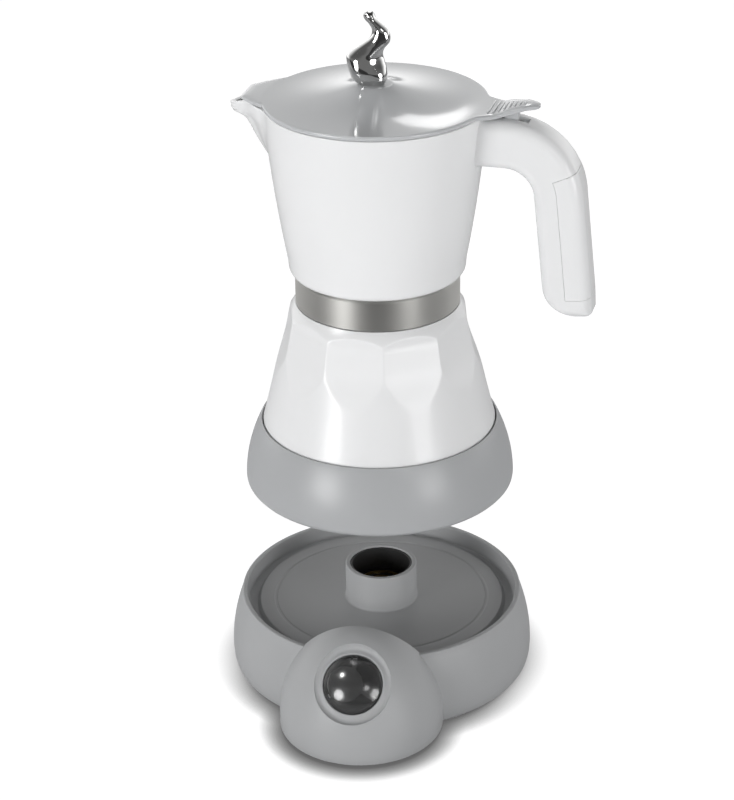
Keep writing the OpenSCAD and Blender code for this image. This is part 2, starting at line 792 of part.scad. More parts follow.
module boiler() {
    inside_floor = boiler_floor_z + boiler_floor_t;
    color(shell_white) in_pot() difference() {
        union() {
            difference() {
                rotate_extrude() polygon(concat([[0, ledge_top_z], [boiler_r, ledge_top_z]], boiler_side(0),
                    [[0, shoulder_z]]));
                facet_cuts();
            }
            cylinder(r = neck_r, h = neck_top_z);
        }
        translate([0, 0, -over]) cylinder(r = boiler_r - boiler_rim_w, h = boiler_floor_z + over);
        rotate_extrude() polygon(concat(
            [[0, inside_floor], [boiler_r - boiler_wall - 3.4, inside_floor]],
            bowed_side(boiler_r - boiler_wall - 3, inside_floor + 1, shoulder_bulge_r - boiler_wall - 2.8,
                shoulder_bulge_z, 0, 1),
            [[neck_r - neck_wall, shoulder_z - boiler_wall], [neck_r - neck_wall, neck_top_z + over],
                [0, neck_top_z + over]]));
        on_valve_axis() translate([0, 0, -valve_reach]) cylinder(r = valve_r + 0.05, h = 2 * valve_reach);
        around(plate_screw_ring_r, plate_screw_angles) translate([0, 0, boiler_floor_z - over])
            cylinder(r = plate_screw_r + 0.05, h = plate_screw_bite + 0.2 + over);
    }
}

// Open ring of the heater tube
module heater_ring(r) {
    rotate([0, 0, (360 - tube_angle) / 2]) rotate_extrude(angle = tube_angle) translate([tube_ring_r, 0])
        circle(r = r);
}

module heating_plate() {
    color(bare_steel) in_pot() difference() {
        translate([0, 0, plate_z]) cylinder(r = plate_r, h = plate_t);
        translate([0, 0, tube_z]) heater_ring(tube_r + 0.05);
        around(plate_screw_ring_r, plate_screw_angles) translate([0, 0, plate_z - over])
            cylinder(r = plate_screw_r + 0.15, h = plate_t + 2 * over);
    }
}

module heating_element() {
    end = (360 - tube_angle) / 2;
    color(bare_steel) in_pot() {
        translate([0, 0, tube_z]) heater_ring(tube_r);
        around(tube_ring_r, [end, -end]) translate([0, 0, tube_z - terminal_l])
            cylinder(r = 1.6, h = terminal_l);
    }
}

module plate_screws() {
    color(bare_steel) in_pot() around(plate_screw_ring_r, plate_screw_angles) translate([0, 0, plate_z - 1.6])
        screw(plate_screw_r, plate_screw_head_r, 1.6, 1.6 + plate_t + plate_screw_bite);
}

module thermostat() {
    color(black_plastic) in_pot() around(stat_ring_r, [stat_angle]) translate([0, 0, plate_z - stat_h])
        cylinder(r = stat_r, h = stat_h);
}

module thermal_fuse() {
    color(shell_white) in_pot() around(stat_ring_r, [fuse_angle]) translate([0, 0, plate_z - fuse_r])
        rotate([90, 0, 0]) cylinder(r = fuse_r, h = fuse_l, center = true);
}

// Basket for the ground coffee, with the tube that the water rises in
module coffee_funnel() {
    top = neck_top_z + funnel_flange_t;
    low = top - basket_h;
    tube_low_z = boiler_floor_z + boiler_floor_t + funnel_tube_clear;
    sieve_z = low + 1;
    color(bare_steel) in_pot() {
        difference() {
            union() {
                rotate_extrude() polygon([
                    [funnel_tube_r - funnel_wall, tube_low_z], [funnel_tube_r, tube_low_z],
                    [funnel_tube_r, low - funnel_cone_h], [funnel_r, low], [funnel_r, neck_top_z],
                    [funnel_flange_r, neck_top_z], [funnel_flange_r, top], [funnel_r - funnel_wall, top],
                    [funnel_r - funnel_wall, low + 0.4],
                    [funnel_tube_r - funnel_wall, low - funnel_cone_h + 0.4]]);
                translate([0, 0, sieve_z]) cylinder(r = funnel_r - funnel_wall / 2, h = funnel_wall);
            }
            for (k = [1:3]) around(8 * k, [0:60 / k:359]) translate([0, 0, sieve_z - 0.4])
                cylinder(r = sieve_hole_r, h = 2);
        }
    }
}

module safety_valve() {
    color(brass_yellow) in_pot() on_valve_axis() difference() {
        union() {
            translate([0, 0, 0.05]) cylinder(r = valve_hex_r, h = valve_hex_t, $fn = 6);
            translate([0, 0, -boiler_wall - valve_in_l])
                cylinder(r = valve_r, h = boiler_wall + valve_in_l + over);
            cylinder(r = valve_r, h = valve_out_l);
        }
        translate([0, 0, -valve_reach]) cylinder(r = valve_pin_r + 0.05, h = 2 * valve_reach);
        translate([0, 0, -boiler_wall - valve_in_l - over])
            cylinder(r = valve_chamber_r, h = boiler_wall + valve_in_l + 2 + over);
    }
}

// Small spring that holds the valve shut
module valve_spring() {
    color(bare_steel) in_pot() on_valve_axis() translate([0, 0, -boiler_wall - valve_in_l + 2.3])
        ring(valve_pin_r + 1.3, valve_pin_r + 0.4, 4);
}

module valve_pin() {
    low = -boiler_wall - valve_in_l;
    color(brass_yellow) in_pot() on_valve_axis() {
        translate([0, 0, low - 1.4]) cylinder(r = valve_pin_r, h = valve_out_l - low + 3);
        translate([0, 0, low - 1.4]) cylinder(r = valve_chamber_r + 0.8, h = 1.2);
    }
}

module gasket() {
    color([0.92, 0.9, 0.85]) in_pot() translate([0, 0, gasket_z]) ring(gasket_r, gasket_in_r, gasket_t);
}

// Brushed sleeve between the boiler and the jug, rounded in at its top
module steel_collar() {
    edge_z = collar_top_z - collar_edge_r;
    color(bare_steel) in_pot() rotate_extrude() polygon(concat(
        [[collar_r - collar_t, collar_z], [collar_r, collar_z]],
        arc(collar_in_r, edge_z, collar_edge_r, 0, 90, 6),
        arc(collar_in_r, edge_z, collar_edge_r - collar_t, 90, 0, 6)));
}

// Metal ring that screws onto the boiler's neck and carries the jug
module collector_base() {
    color(bare_steel) in_pot() rotate_extrude() polygon(concat(
        [[thread_in_r, collar_z + 0.6], [thread_out_r, collar_z + 0.6]],
        arc(collar_in_r, collar_top_z - collar_edge_r, collar_edge_r - collar_t - fit, 0, 90, 6),
        [[collar_in_r - fit, collar_top_z - collar_t - fit], [collar_in_r - fit, jug_z - fit],
            [spigot_r - fit, jug_z - fit], [spigot_r - fit, jug_floor_z], [riser_low_r, jug_floor_z],
            [riser_low_r, collector_z], [thread_in_r, collector_z]]));
}

module filter_plate() {
    color(bare_steel) in_pot() difference() {
        translate([0, 0, filter_z]) cylinder(r = filter_r, h = filter_t);
        for (k = [1:4]) around(3 * k, [0:60 / k:359]) translate([0, 0, filter_z - over])
            cylinder(r = filter_hole_r, h = filter_t + 2 * over);
    }
}

module riser_column() {
    low = jug_floor_z + riser_flange_t;
    color(bare_steel) in_pot() rotate_extrude() polygon([
        [riser_low_r - 1, jug_floor_z], [riser_flange_r, jug_floor_z], [riser_flange_r, low],
        [riser_low_r + 2, low], [riser_low_r, low + 2], [riser_top_r, riser_top_z],
        [riser_top_r - riser_wall, riser_top_z], [riser_low_r - riser_wall - 1, low + 2]]);
}

// Cap on the column, with side slots that let the coffee out
module riser_cap() {
    color(bare_steel) in_pot() difference() {
        translate([0, 0, riser_top_z]) {
            cylinder(r = riser_top_r, h = cap_h - 2);
            translate([0, 0, cap_h - 2]) cylinder(r1 = riser_top_r, r2 = riser_top_r - 2, h = 2);
        }
        translate([0, 0, riser_top_z - over]) cylinder(r = riser_top_r - riser_wall, h = cap_h - 2);
        for (a = [0, 90]) rotate([0, 0, a]) translate([-riser_top_r - over, -2.5, riser_top_z + 0.8])
            cube([2 * riser_top_r + 2 * over, 5, 3.4]);
    }
}

// Side of the jug, drawn in by inset, from its lower edge to its rim
function jug_side(inset, z0) =
    bowed_side(jug_low_r - inset, z0, jug_top_r - inset, jug_top_z, jug_bulge, 10);

// Spout on +X, drawn in by inset; lift raises its top so that a cut runs out above the rim
module spout(inset, lift) {
    top_z = jug_top_z + lift;
    side = inset * 1.4;
    hull() {
        translate([0, 0, top_z - 1]) linear_extrude(1) polygon([
            [spout_root_r - 7, side - spout_half_w], [spout_root_r, side - spout_half_w],
            [spout_mid_r - inset, side - spout_mid_half_w], [spout_mid_r - inset, spout_mid_half_w - side],
            [spout_root_r, spout_half_w - side], [spout_root_r - 7, spout_half_w - side]]);
        translate([spout_mid_r + 2.2 - side, 0, jug_top_z - 9.6 + inset / 2])
            cylinder(r = 1.8, h = 2, $fn = 32);
        translate([spout_root_r + 1.8 - side, 0, spout_low_z]) cylinder(r = 2, h = 2, $fn = 32);
    }
    hull() {
        translate([0, 0, top_z - 1]) linear_extrude(1) polygon([
            [spout_mid_r - inset - 4, side - spout_mid_half_w - 2],
            [spout_mid_r - inset, side - spout_mid_half_w], [spout_mid_r - inset, spout_mid_half_w - side],
            [spout_mid_r - inset - 4, spout_mid_half_w + 2 - side]]);
        translate([spout_mid_r + 2.2 - side, 0, jug_top_z - 9.6 + inset / 2])
            cylinder(r = 1.8, h = 2, $fn = 32);
        translate([spout_r - spout_tip_r - inset / 2, 0, jug_top_z - spout_drop - spout_lip_h + 1.5 * inset])
            cylinder(r = max(0.6, spout_tip_r - inset), h = spout_lip_h + lift, $fn = 32);
    }
}

module jug_shell() {
    foot = jug_z + jug_edge_r;
    color(shell_white) in_pot() difference() {
        union() {
            rotate_extrude() polygon(concat(
                [[0, jug_z]], arc(jug_low_r - jug_edge_r, foot, jug_edge_r, -90, -20, 5), jug_side(0, foot),
                [[0, jug_top_z]]));
            rotate([0, 0, 180]) spout(0, 0);
        }
        rotate_extrude() polygon(concat(
            [[0, jug_floor_z], [jug_low_r - 5, jug_floor_z]], jug_side(jug_wall, jug_floor_z + 3),
            [[jug_top_r - jug_wall, jug_top_z + 3 * over], [0, jug_top_z + 3 * over]]));
        rotate([0, 0, 180]) spout(jug_wall, 2);
        translate([0, 0, jug_z - over]) cylinder(r = spigot_r, h = jug_floor_t + 2 * over);
        translate([root_in_x - jug_wall, 0, handle_screw_z]) rotate([0, 90, 0])
            cylinder(r = handle_screw_r + 0.1, h = 4 * jug_wall);
    }
}

// Cross-section of the handle, drawn in by inset: x runs outwards from the bend's centre
module handle_section(inset) {
    w = handle_t - 2 * inset;
    h = handle_w - 2 * inset;
    r = handle_corner_r - inset;
    square([w - 2 * r, h], center = true);
    square([w, h - 2 * r], center = true);
    for (x = [r - w / 2, w / 2 - r], y = [r - h / 2, h / 2 - r]) translate([x, y]) circle(r = r);
}

// Hollow section of one half of the grip, drawn in by inset: side 1 is the outer half, -1 the inner one
module half_section(side, inset) {
    difference() {
        intersection() {
            handle_section(inset);
            translate([side > 0 ? inset : -handle_w - inset, -handle_w]) square([handle_w, 2 * handle_w]);
        }
        handle_section(grip_wall + inset);
    }
}

// Sweep of a 2D section around the bend, from angle a0 to a1 above the horizontal
module bend(a0, a1) {
    translate([bend_x, 0, bend_z]) rotate([90, 0, 0]) rotate([0, 0, a0]) rotate_extrude(angle = a1 - a0)
        translate([bend_r, 0]) children();
}

// Straight run of a 2D section down the grip, between two distances from the bend's lower end
module grip(from, to) {
    translate([bend_x, 0, bend_z]) rotate([0, -grip_lean, 0]) translate([bend_r, 0, -from])
        rotate([180, 0, 0]) linear_extrude(to - from) children();
}

// Rounded space that closes the grip's lower end
module grip_end() {
    translate([bend_x, 0, bend_z]) rotate([0, -grip_lean, 0])
        translate([bend_r + tip_shift, 0, -grip_l + tip_ball_r]) rotate([90, 0, 0])
            cylinder(r = tip_ball_r, h = 2 * handle_w, center = true);
}

module handle() {
    color(shell_white) in_pot() difference() {
        union() {
            translate([root_x, 0, bend_z + bend_r]) rotate([90, 0, 90])
                linear_extrude(bend_x - root_x + run_lap) rotate(90) handle_section(0);
            bend(seam_angle, 90) handle_section(run_step);
            bend(grip_lean, seam_angle + 2 * run_lap) half_section(-1, 0);
            grip(-run_lap, cover_l + run_lap) half_section(-1, run_step);
            intersection() {
                grip(cover_l, grip_l) handle_section(0);
                grip_end();
            }
        }
        translate([slot_x0, -slot_w / 2, crown_z - slot_depth])
            cube([slot_x1 - slot_x0, slot_w, 2 * slot_depth]);
        translate([pivot_x, -pin_half_l, pivot_z]) rotate([-90, 0, 0]) cylinder(r = pin_r, h = handle_w);
        translate([root_x - over, 0, handle_screw_z]) rotate([0, 90, 0])
            cylinder(r = handle_screw_r, h = root_screw_l + over);
        // The root is shaped to the jug's side
        rotate_extrude() polygon(concat([[0, jug_z]], jug_side(-0.1, jug_z + jug_edge_r), [[0, jug_top_z]]));
    }
}

module handle_cover() {
    color(shell_white) in_pot() {
        bend(grip_lean, seam_angle) half_section(1, 0);
        grip(-run_lap, cover_l) half_section(1, run_step);
    }
}

module handle_screw() {
    color(bare_steel) in_pot() translate([handle_screw_x, 0, handle_screw_z]) rotate([0, 90, 0])
        screw(handle_screw_r - 0.05, handle_screw_head_r, handle_screw_head_h, handle_screw_l);
}

module hinge_pin() {
    color(bare_steel) in_pot() translate([pivot_x, -pin_half_l, pivot_z]) rotate([-90, 0, 0])
        cylinder(r = pin_r - 0.02, h = 2 * pin_half_l);
}

// Top side of the lid from its boss out to its edge, lowered by drop
function lid_curve_points(drop) =
    [for (i = [0:12]) let (t = i / 12, r = lid_boss_r + (lid_r - lid_boss_r) * t)
        [r, lid_z + lid_edge_h - drop + lid_rise * pow(1 - t, lid_curve)]];

// Outline of the thumb tab, from the lid's edge outwards
module tab_outline() {
    end_r = tab_r - tab_tip_r;
    polygon([[tab_root_r, -tab_half_w], [tab_knee_r, -tab_knee_half_w], [end_r - 0.8, -tab_tip_r],
        [end_r - 0.8, tab_tip_r], [tab_knee_r, tab_knee_half_w], [tab_root_r, tab_half_w]]);
    translate([end_r, 0]) circle(r = tab_tip_r);
}

// Thumb tab: level over the jug's rim, then sloping up
module thumb_tab() {
    translate([0, 0, lid_z]) linear_extrude(lid_t) intersection() {
        tab_outline();
        translate([0, -tab_half_w]) square([tab_knee_r, 2 * tab_half_w]);
    }
    intersection() {
        translate([tab_knee_r, 0, lid_z]) rotate([0, -tab_slope, 0])
            translate([-tab_knee_r, 0, lid_t - tab_t]) linear_extrude(tab_t) tab_outline();
        translate([tab_knee_r - 2, -tab_half_w, lid_z]) cube(2 * tab_half_w);
    }
}

module lid() {
    color([0.72, 0.73, 0.74]) in_pot() difference() {
        union() {
            rotate_extrude() polygon(concat(
                [[0, lid_top_z]], lid_curve_points(0), [[lid_r, lid_z], [lid_r - 2, lid_z]],
                [for (i = [12:-1:0]) let (p = lid_curve_points(lid_t)[i]) [min(p[0], lid_r - 2), p[1]]],
                [[0, lid_top_z - lid_t]]));
            translate([0, 0, lid_z - lid_lip_h])
                ring(lid_lip_r, lid_lip_r - lid_lip_t, lid_lip_h + lid_t / 2);
            rotate([0, 0, 180]) translate([0, 0, lid_z]) linear_extrude(lid_t) polygon([
                [flap_root_r, -flap_root_half_w], [flap_r, -flap_half_w], [flap_r, flap_half_w],
                [flap_root_r, flap_root_half_w]]);
            thumb_tab();
            translate([pivot_x, 0, pivot_z]) rotate([90, 0, 0]) cylinder(r = lug_r, h = lug_w, center = true);
            translate([pivot_x - lug_r, -lug_w / 2, pivot_z]) cube([2 * lug_r, lug_w, lug_top_z - pivot_z]);
        }
        translate([pivot_x, 0, pivot_z]) rotate([90, 0, 0])
            cylinder(r = pin_r + 0.05, h = 2 * lug_w, center = true);
        translate([0, 0, lid_z - lid_lip_h - over]) cylinder(r = knob_screw_r + 0.1, h = 6 * lid_rise);
    }
}

// Curled knob: flat oval sections that twist as their middle line winds up
knob_rise = [0, 3.3, 6.7, 10.5, 13, 15.3, 18.2, 20.6, 23, 25.8, 28.2, 30.6, 33, 34.5];
knob_shift = [0.2, -2.1, -3.3, -4.5, -4.9, -3.3, -0.4, 1.8, 2.6, 2.3, 0.6, -1.7, -2.5, -1.6];
knob_half_w = [5.6, 8.3, 9.2, 8.7, 7.9, 7.4, 6.1, 4.9, 4.3, 3.5, 2.8, 2.8, 2.7, 1.2];
knob_depth = [5.6, 6.4, 6.4, 5.8, 5.2, 4.6, 4.2, 4.0, 3.8, 3.2, 2.8, 2.6, 2.2, 1.0];
knob_sides = 16;

function knob_ring(i) = [for (k = [0:knob_sides - 1]) let (a = k * 360 / knob_sides)
    [knob_shift[i] + knob_half_w[i] * cos(a), knob_depth[i] * sin(a),
        knob_rise[i] * knob_h / knob_rise[len(knob_rise) - 1]]];

module lid_knob() {
    rings = len(knob_rise);
    n = knob_sides;
    points = [for (i = [0:rings - 1]) each knob_ring(i)];
    sides = [for (i = [0:rings - 2], k = [0:n - 1]) let (j = (k + 1) % n)
        each [[i * n + k, (i + 1) * n + k, (i + 1) * n + j], [i * n + k, (i + 1) * n + j, i * n + j]]];
    caps = [[for (k = [0:n - 1]) k], [for (k = [n - 1:-1:0]) (rings - 1) * n + k]];
    color(bare_steel) in_pot() translate([0, 0, lid_top_z]) rotate([0, 0, -pot_turn])
        difference() {
            polyhedron(points, concat(caps, sides));
            translate([0, 0, -over]) cylinder(r = knob_screw_r, h = knob_screw_bite + 0.8 + over);
        }
}

module knob_screw() {
    drop = lid_t + knob_screw_head_h + fit;
    color(bare_steel) in_pot() translate([0, 0, lid_top_z - drop])
        screw(knob_screw_r - 0.05, 3.4, knob_screw_head_h, drop + knob_screw_bite);
}

base_housing();
base_bottom_cover();
rubber_feet();
base_screws();
hub_connector();
hub_contacts();
switch_holder();
power_switch();
indicator_board();
button_spring();
terminal_block();
cord_grommet();
button_lens();
button_core();
coupler_body();
coupler_contacts();
pot_skirt();
pot_bottom_cover();
pot_bottom_screws();
boiler();
heating_plate();
heating_element();
plate_screws();
thermostat();
thermal_fuse();
coffee_funnel();
safety_valve();
valve_spring();
valve_pin();
gasket();
steel_collar();
collector_base();
filter_plate();
riser_column();
riser_cap();
jug_shell();
handle();
handle_cover();
handle_screw();
hinge_pin();
lid();
lid_knob();
knob_screw();
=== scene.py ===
"""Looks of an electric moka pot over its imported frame.

The pot hovers above its cordless power base. Every size below is in millimetres in the
pot's or the base's own frame, and every finished mesh is in metres in the row frame.
"""
import logging
import math
from dataclasses import dataclass, field
from enum import Enum
from typing import Callable, Optional, Sequence

import bmesh
import bpy
from mathutils import Matrix, Vector


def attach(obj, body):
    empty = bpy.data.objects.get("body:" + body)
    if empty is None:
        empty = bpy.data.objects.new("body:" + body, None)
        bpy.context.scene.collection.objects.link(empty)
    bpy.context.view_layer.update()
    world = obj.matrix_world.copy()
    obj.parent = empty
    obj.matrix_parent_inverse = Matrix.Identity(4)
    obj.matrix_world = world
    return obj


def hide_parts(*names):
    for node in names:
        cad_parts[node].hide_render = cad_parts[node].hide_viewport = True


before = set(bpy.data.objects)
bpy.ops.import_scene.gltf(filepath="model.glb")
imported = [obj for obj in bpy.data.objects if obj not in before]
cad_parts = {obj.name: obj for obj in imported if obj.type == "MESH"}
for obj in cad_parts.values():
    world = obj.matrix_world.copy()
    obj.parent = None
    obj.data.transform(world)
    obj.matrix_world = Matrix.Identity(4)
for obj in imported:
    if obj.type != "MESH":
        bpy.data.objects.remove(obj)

LOG = logging.getLogger("moka_pot")
MM = 0.001
SECTORS = 12  # equal parts of a turned shape: one is spun, the others are turned copies of it
SHARP = 0.5  # angle in radians above which an edge may be rounded
Point = tuple[float, float]
Corner = tuple[float, float, float]
NodeRow = tuple[str, dict[str, object], dict[object, object]]
Shape = bmesh.types.BMesh


class Body(Enum):
    """The moving bodies that the pieces ride on."""

    BASE = "base"
    BUTTON = "power_button"
    POT = "pot"
    JUG = "jug"
    LID = "lid"


@dataclass(frozen=True)
class Placement:
    """Where the lifted pot and the tilted button stand in the row frame.

    Attributes:
        pot_height: Height of the pot's foot above the table.
        pot_turn: Turn of the pot about the vertical, in degrees.
        hood_forward: Distance of the hood's centre in front of the dish's centre.
        axis_forward: Distance in front of it at which the button's axis starts.
        axis_height: Height at which the button's axis starts.
        button_tilt: Angle of the button's axis above the horizontal, in degrees.
        pin_x: Distance of the hinge pin from the pot's axis.
        pin_z: Height of the hinge pin in the pot's frame.
    """

    pot_height: float = 104.2
    pot_turn: float = -6.0
    hood_forward: float = 66.5
    axis_forward: float = 63.794
    axis_height: float = 14.884
    button_tilt: float = 40.0
    pin_x: float = 64.5
    pin_z: float = 188.5

    def pot(self) -> Matrix:
        """Returns the matrix from the pot's frame in metres to the row frame."""
        turn = Matrix.Rotation(math.radians(self.pot_turn), 4, "Z")
        return Matrix.Translation((0, 0, self.pot_height * MM)) @ turn

    def button(self) -> Matrix:
        """Returns the matrix from the button's frame, +Z out through the lens, to the row frame."""
        start = Vector((0, -self.axis_forward, self.axis_height)) * MM
        return Matrix.Translation(start) @ Matrix.Rotation(math.radians(90 - self.button_tilt), 4, "X")


PLACE = Placement()


def rounded(corners: Sequence[Corner], segments: int = 4, closed: bool = False) -> list[Point]:
    """Rounds the corners of an outline.

    Args:
        corners: (across, up, fillet radius) of each corner in order.
        segments: Steps of each rounding.
        closed: Whether the last corner joins the first.

    Returns:
        The points of the rounded outline.
    """
    points: list[Point] = []
    count = len(corners)
    for i, (x, y, fillet) in enumerate(corners):
        here = Vector((x, y))
        if fillet <= 0 or (not closed and i in (0, count - 1)):
            points.append((x, y))
            continue
        before = Vector(corners[i - 1][:2]) - here
        after = Vector(corners[(i + 1) % count][:2]) - here
        reach = min(before.length, after.length) * 0.49
        before.normalize()
        after.normalize()
        angle = before.angle(after)
        if math.pi - angle < 0.02:
            points.append((x, y))
            continue
        cut = min(fillet / math.tan(angle / 2), reach)
        radius = cut * math.tan(angle / 2)
        centre = here + (before + after).normalized() * (radius / math.sin(angle / 2))
        start, end = here + before * cut - centre, here + after * cut - centre
        sweep = start.angle(end)
        for k in range(segments + 1):
            s = k / segments
            spoke = (start * math.sin((1 - s) * sweep) + end * math.sin(s * sweep)) / math.sin(sweep)
            points.append((centre.x + spoke.x, centre.y + spoke.y))
    return points


def smoothstep(low: float, high: float, value: float) -> float:
    """Returns 0 below low, 1 above high and a smooth rise between them."""
    t = min(max((value - low) / (high - low), 0.0), 1.0)
    return t * t * (3 - 2 * t)


def blend_table(table: Sequence[Point], value: float) -> float:
    """Reads a table along straight lines between its rows.

    Args:
        table: Rows of position and amount, in order.
        value: The position.

    Returns:
        The amount there.
    """
    if value <= table[0][0]:
        return table[0][1]
    for (a, va), (b, vb) in zip(table, table[1:]):
        if value <= b:
            return va + (vb - va) * (value - a) / (b - a)
    return table[-1][1]


def smooth_table(table: Sequence[Point], value: float) -> float:
    """Reads a table on a smooth curve through its rows.

    Args:
        table: Rows of position and amount, in order.
        value: The position.

    Returns:
        The amount there.
    """
    if value <= table[0][0]:
        return table[0][1]
    if value >= table[-1][0]:
        return table[-1][1]
    i = next(k for k in range(len(table) - 1) if value <= table[k + 1][0])
    (x0, y0), (x1, y1) = table[i], table[i + 1]
    left, right = table[max(i - 1, 0)], table[min(i + 2, len(table) - 1)]
    span = x1 - x0
    m0 = (y1 - left[1]) / max(x1 - left[0], 1e-9) * span
    m1 = (right[1] - y0) / max(right[0] - x0, 1e-9) * span
    t = (value - x0) / span
    return (
        (2 * t**3 - 3 * t**2 + 1) * y0 + (t**3 - 2 * t**2 + t) * m0
        + (-2 * t**3 + 3 * t**2) * y1 + (t**3 - t**2) * m1
    )


def turned(profile: Sequence[Point], steps: int, closed: bool) -> Shape:
    """Turns a profile a full turn about the vertical axis.

    Args:
        profile: (radius, height) of each point in millimetres.
        steps: Steps of the turn, a multiple of SECTORS.
        closed: Whether the last point joins the first, as round a wall.

    Returns:
        The turned shape in metres, with its doubles merged and faces outwards.
    """
    bm = bmesh.new()
    verts = [bm.verts.new((r * MM, 0, z * MM)) for r, z in profile]
    edges = [bm.edges.new(pair) for pair in zip(verts, verts[1:])]
    if closed:
        edges.append(bm.edges.new((verts[-1], verts[0])))
    bmesh.ops.spin(
        bm, geom=verts + edges, cent=(0, 0, 0), axis=(0, 0, 1), dvec=(0, 0, 0),
        angle=2 * math.pi / SECTORS, steps=steps // SECTORS, use_merge=False, use_duplicate=False,
    )
    wedge = bm.verts[:] + bm.edges[:] + bm.faces[:]
    for k in range(1, SECTORS):
        copy = bmesh.ops.duplicate(bm, geom=wedge)["geom"]
        bmesh.ops.rotate(
            bm, cent=(0, 0, 0), matrix=Matrix.Rotation(2 * math.pi * k / SECTORS, 3, "Z"),
            verts=[g for g in copy if isinstance(g, bmesh.types.BMVert)],
        )
    bmesh.ops.remove_doubles(bm, verts=bm.verts[:], dist=2e-6)
    bmesh.ops.recalc_face_normals(bm, faces=bm.faces[:])
    return bm


def swept(rings: Sequence[Sequence[Vector]]) -> Shape:
    """Draws one ring of points out along the next ones and closes both ends.

    Args:
        rings: Rings of equally many points, in metres.

    Returns:
        The swept shape.
    """
    bm = bmesh.new()
    ring = [bm.verts.new(p) for p in rings[0]]
    edges = [bm.edges.new((a, b)) for a, b in zip(ring, ring[1:] + ring[:1])]
    first = list(edges)
    for goal in rings[1:]:
        made = bmesh.ops.extrude_edge_only(bm, edges=edges)["geom"]
        fresh = {g for g in made if isinstance(g, bmesh.types.BMVert)}
        ring = [next(e.other_vert(old) for e in old.link_edges if e.other_vert(old) in fresh) for old in ring]
        for vert, point in zip(ring, goal):
            vert.co = point
        edges = [bm.edges.get((a, b)) for a, b in zip(ring, ring[1:] + ring[:1])]
    bmesh.ops.contextual_create(bm, geom=first)
    bmesh.ops.contextual_create(bm, geom=edges)
    bmesh.ops.recalc_face_normals(bm, faces=bm.faces[:])
    return bm


def moved(bm: Shape, at: Matrix) -> Shape:
    """Moves a shape by a matrix and returns it."""
    bmesh.ops.transform(bm, matrix=at, verts=bm.verts[:])
    return bm


def meshed(name: str, bm: Shape) -> bpy.types.Mesh:
    """Makes a mesh of a shape.

    Args:
        name: The mesh's name.
        bm: The shape. It is freed.

    Returns:
        The mesh.
    """
    mesh = bpy.data.meshes.new(name)
    bm.to_mesh(mesh)
    bm.free()
    return mesh


def linked(name: str, data: bpy.types.ID) -> bpy.types.Object:
    """Adds an object to the scene.

    Args:
        name: The object's name.
        data: What it shows.

    Returns:
        The object.
    """
    thing = bpy.data.objects.new(name, data)
    bpy.context.scene.collection.objects.link(thing)
    return thing


def carved(bm: Shape, tools: Sequence[Shape]) -> Shape:
    """Cuts closed shapes out of a closed shape.

    Args:
        bm: The shape that is cut. It is freed.
        tools: The shapes that are taken away. They are freed.

    Returns:
        What is left.
    """
    made: list[bpy.types.Object] = []

    def as_object(shape: Shape, label: str) -> bpy.types.Object:
        """Returns a passing object of the shape."""
        made.append(linked(label, meshed(label, shape)))
        return made[-1]

    work = as_object(bm, "carve_work")
    for number, tool in enumerate(tools):
        cut = work.modifiers.new(f"cut_{number}", "BOOLEAN")
        cut.operation, cut.solver = "DIFFERENCE", "EXACT"
        cut.object = as_object(tool, f"carve_tool_{number}")
    view = bpy.context.evaluated_depsgraph_get()
    result = bmesh.new()
    shaped = work.evaluated_get(view)
    result.from_mesh(shaped.to_mesh())
    shaped.to_mesh_clear()
    for thing in made:
        mesh = thing.data
        bpy.data.objects.remove(thing)
        bpy.data.meshes.remove(mesh)
    bmesh.ops.remove_doubles(result, verts=result.verts[:], dist=3e-6)
    return result


def soften(bm: Shape, picks: Callable[[bmesh.types.BMEdge], bool], width: float, steps: int) -> None:
    """Rounds the sharp edges that a test picks.

    Args:
        bm: The shape.
        picks: Says whether an edge is rounded.
        width: Width of the rounding in millimetres.
        steps: Steps of the rounding.
    """
    edges = [e for e in bm.edges if len(e.link_faces) == 2 and e.calc_face_angle(0) > SHARP and picks(e)]
    if edges:
        bmesh.ops.bevel(
            bm, geom=edges, offset=width * MM, offset_type="OFFSET", segments=steps, profile=0.5,
            affect="EDGES", clamp_overlap=True, material=-1,
        )


def block(size: Sequence[float], centre: Sequence[float], bevel: float) -> Shape:
    """Makes a block with rounded edges.

    Args:
        size: Its three sizes in millimetres.
        centre: Its centre.
        bevel: Width of the rounding.

    Returns:
        The shape, in metres.
    """
    bm = bmesh.new()
    bmesh.ops.create_cube(bm, size=1.0)
    bmesh.ops.scale(bm, vec=Vector(size) * MM, verts=bm.verts[:])
    bmesh.ops.bevel(bm, geom=bm.edges[:], offset=bevel * MM, segments=3, profile=0.5, affect="EDGES", material=-1)
    return moved(bm, Matrix.Translation(Vector(centre) * MM))


def drum(radius: float, height: float, steps: int = 96) -> Shape:
    """Makes an upright cylinder with its foot at the origin.

    Args:
        radius: Its radius in millimetres.
        height: Its height.
        steps: Steps of a turn.

    Returns:
        The shape, in metres.
    """
    bm = bmesh.new()
    wide, tall = radius * MM, height * MM
    bmesh.ops.create_cone(bm, cap_ends=True, cap_tris=False, segments=steps, radius1=wide, radius2=wide, depth=tall)
    return moved(bm, Matrix.Translation((0, 0, tall / 2)))


def pin_bore(radius: float, length: float, start: float) -> Shape:
    """Makes a bore along the hinge pin, in the pot's frame.

    Args:
        radius: Its radius in millimetres.
        length: Its length.
        start: Where it starts across the plane of the pot.

    Returns:
        The shape, in metres.
    """
    place = Matrix.Translation(Vector((PLACE.pin_x, start, PLACE.pin_z)) * MM)
    return moved(drum(radius, length, 48), place @ Matrix.Rotation(math.radians(-90), 4, "X"))


# Finishes


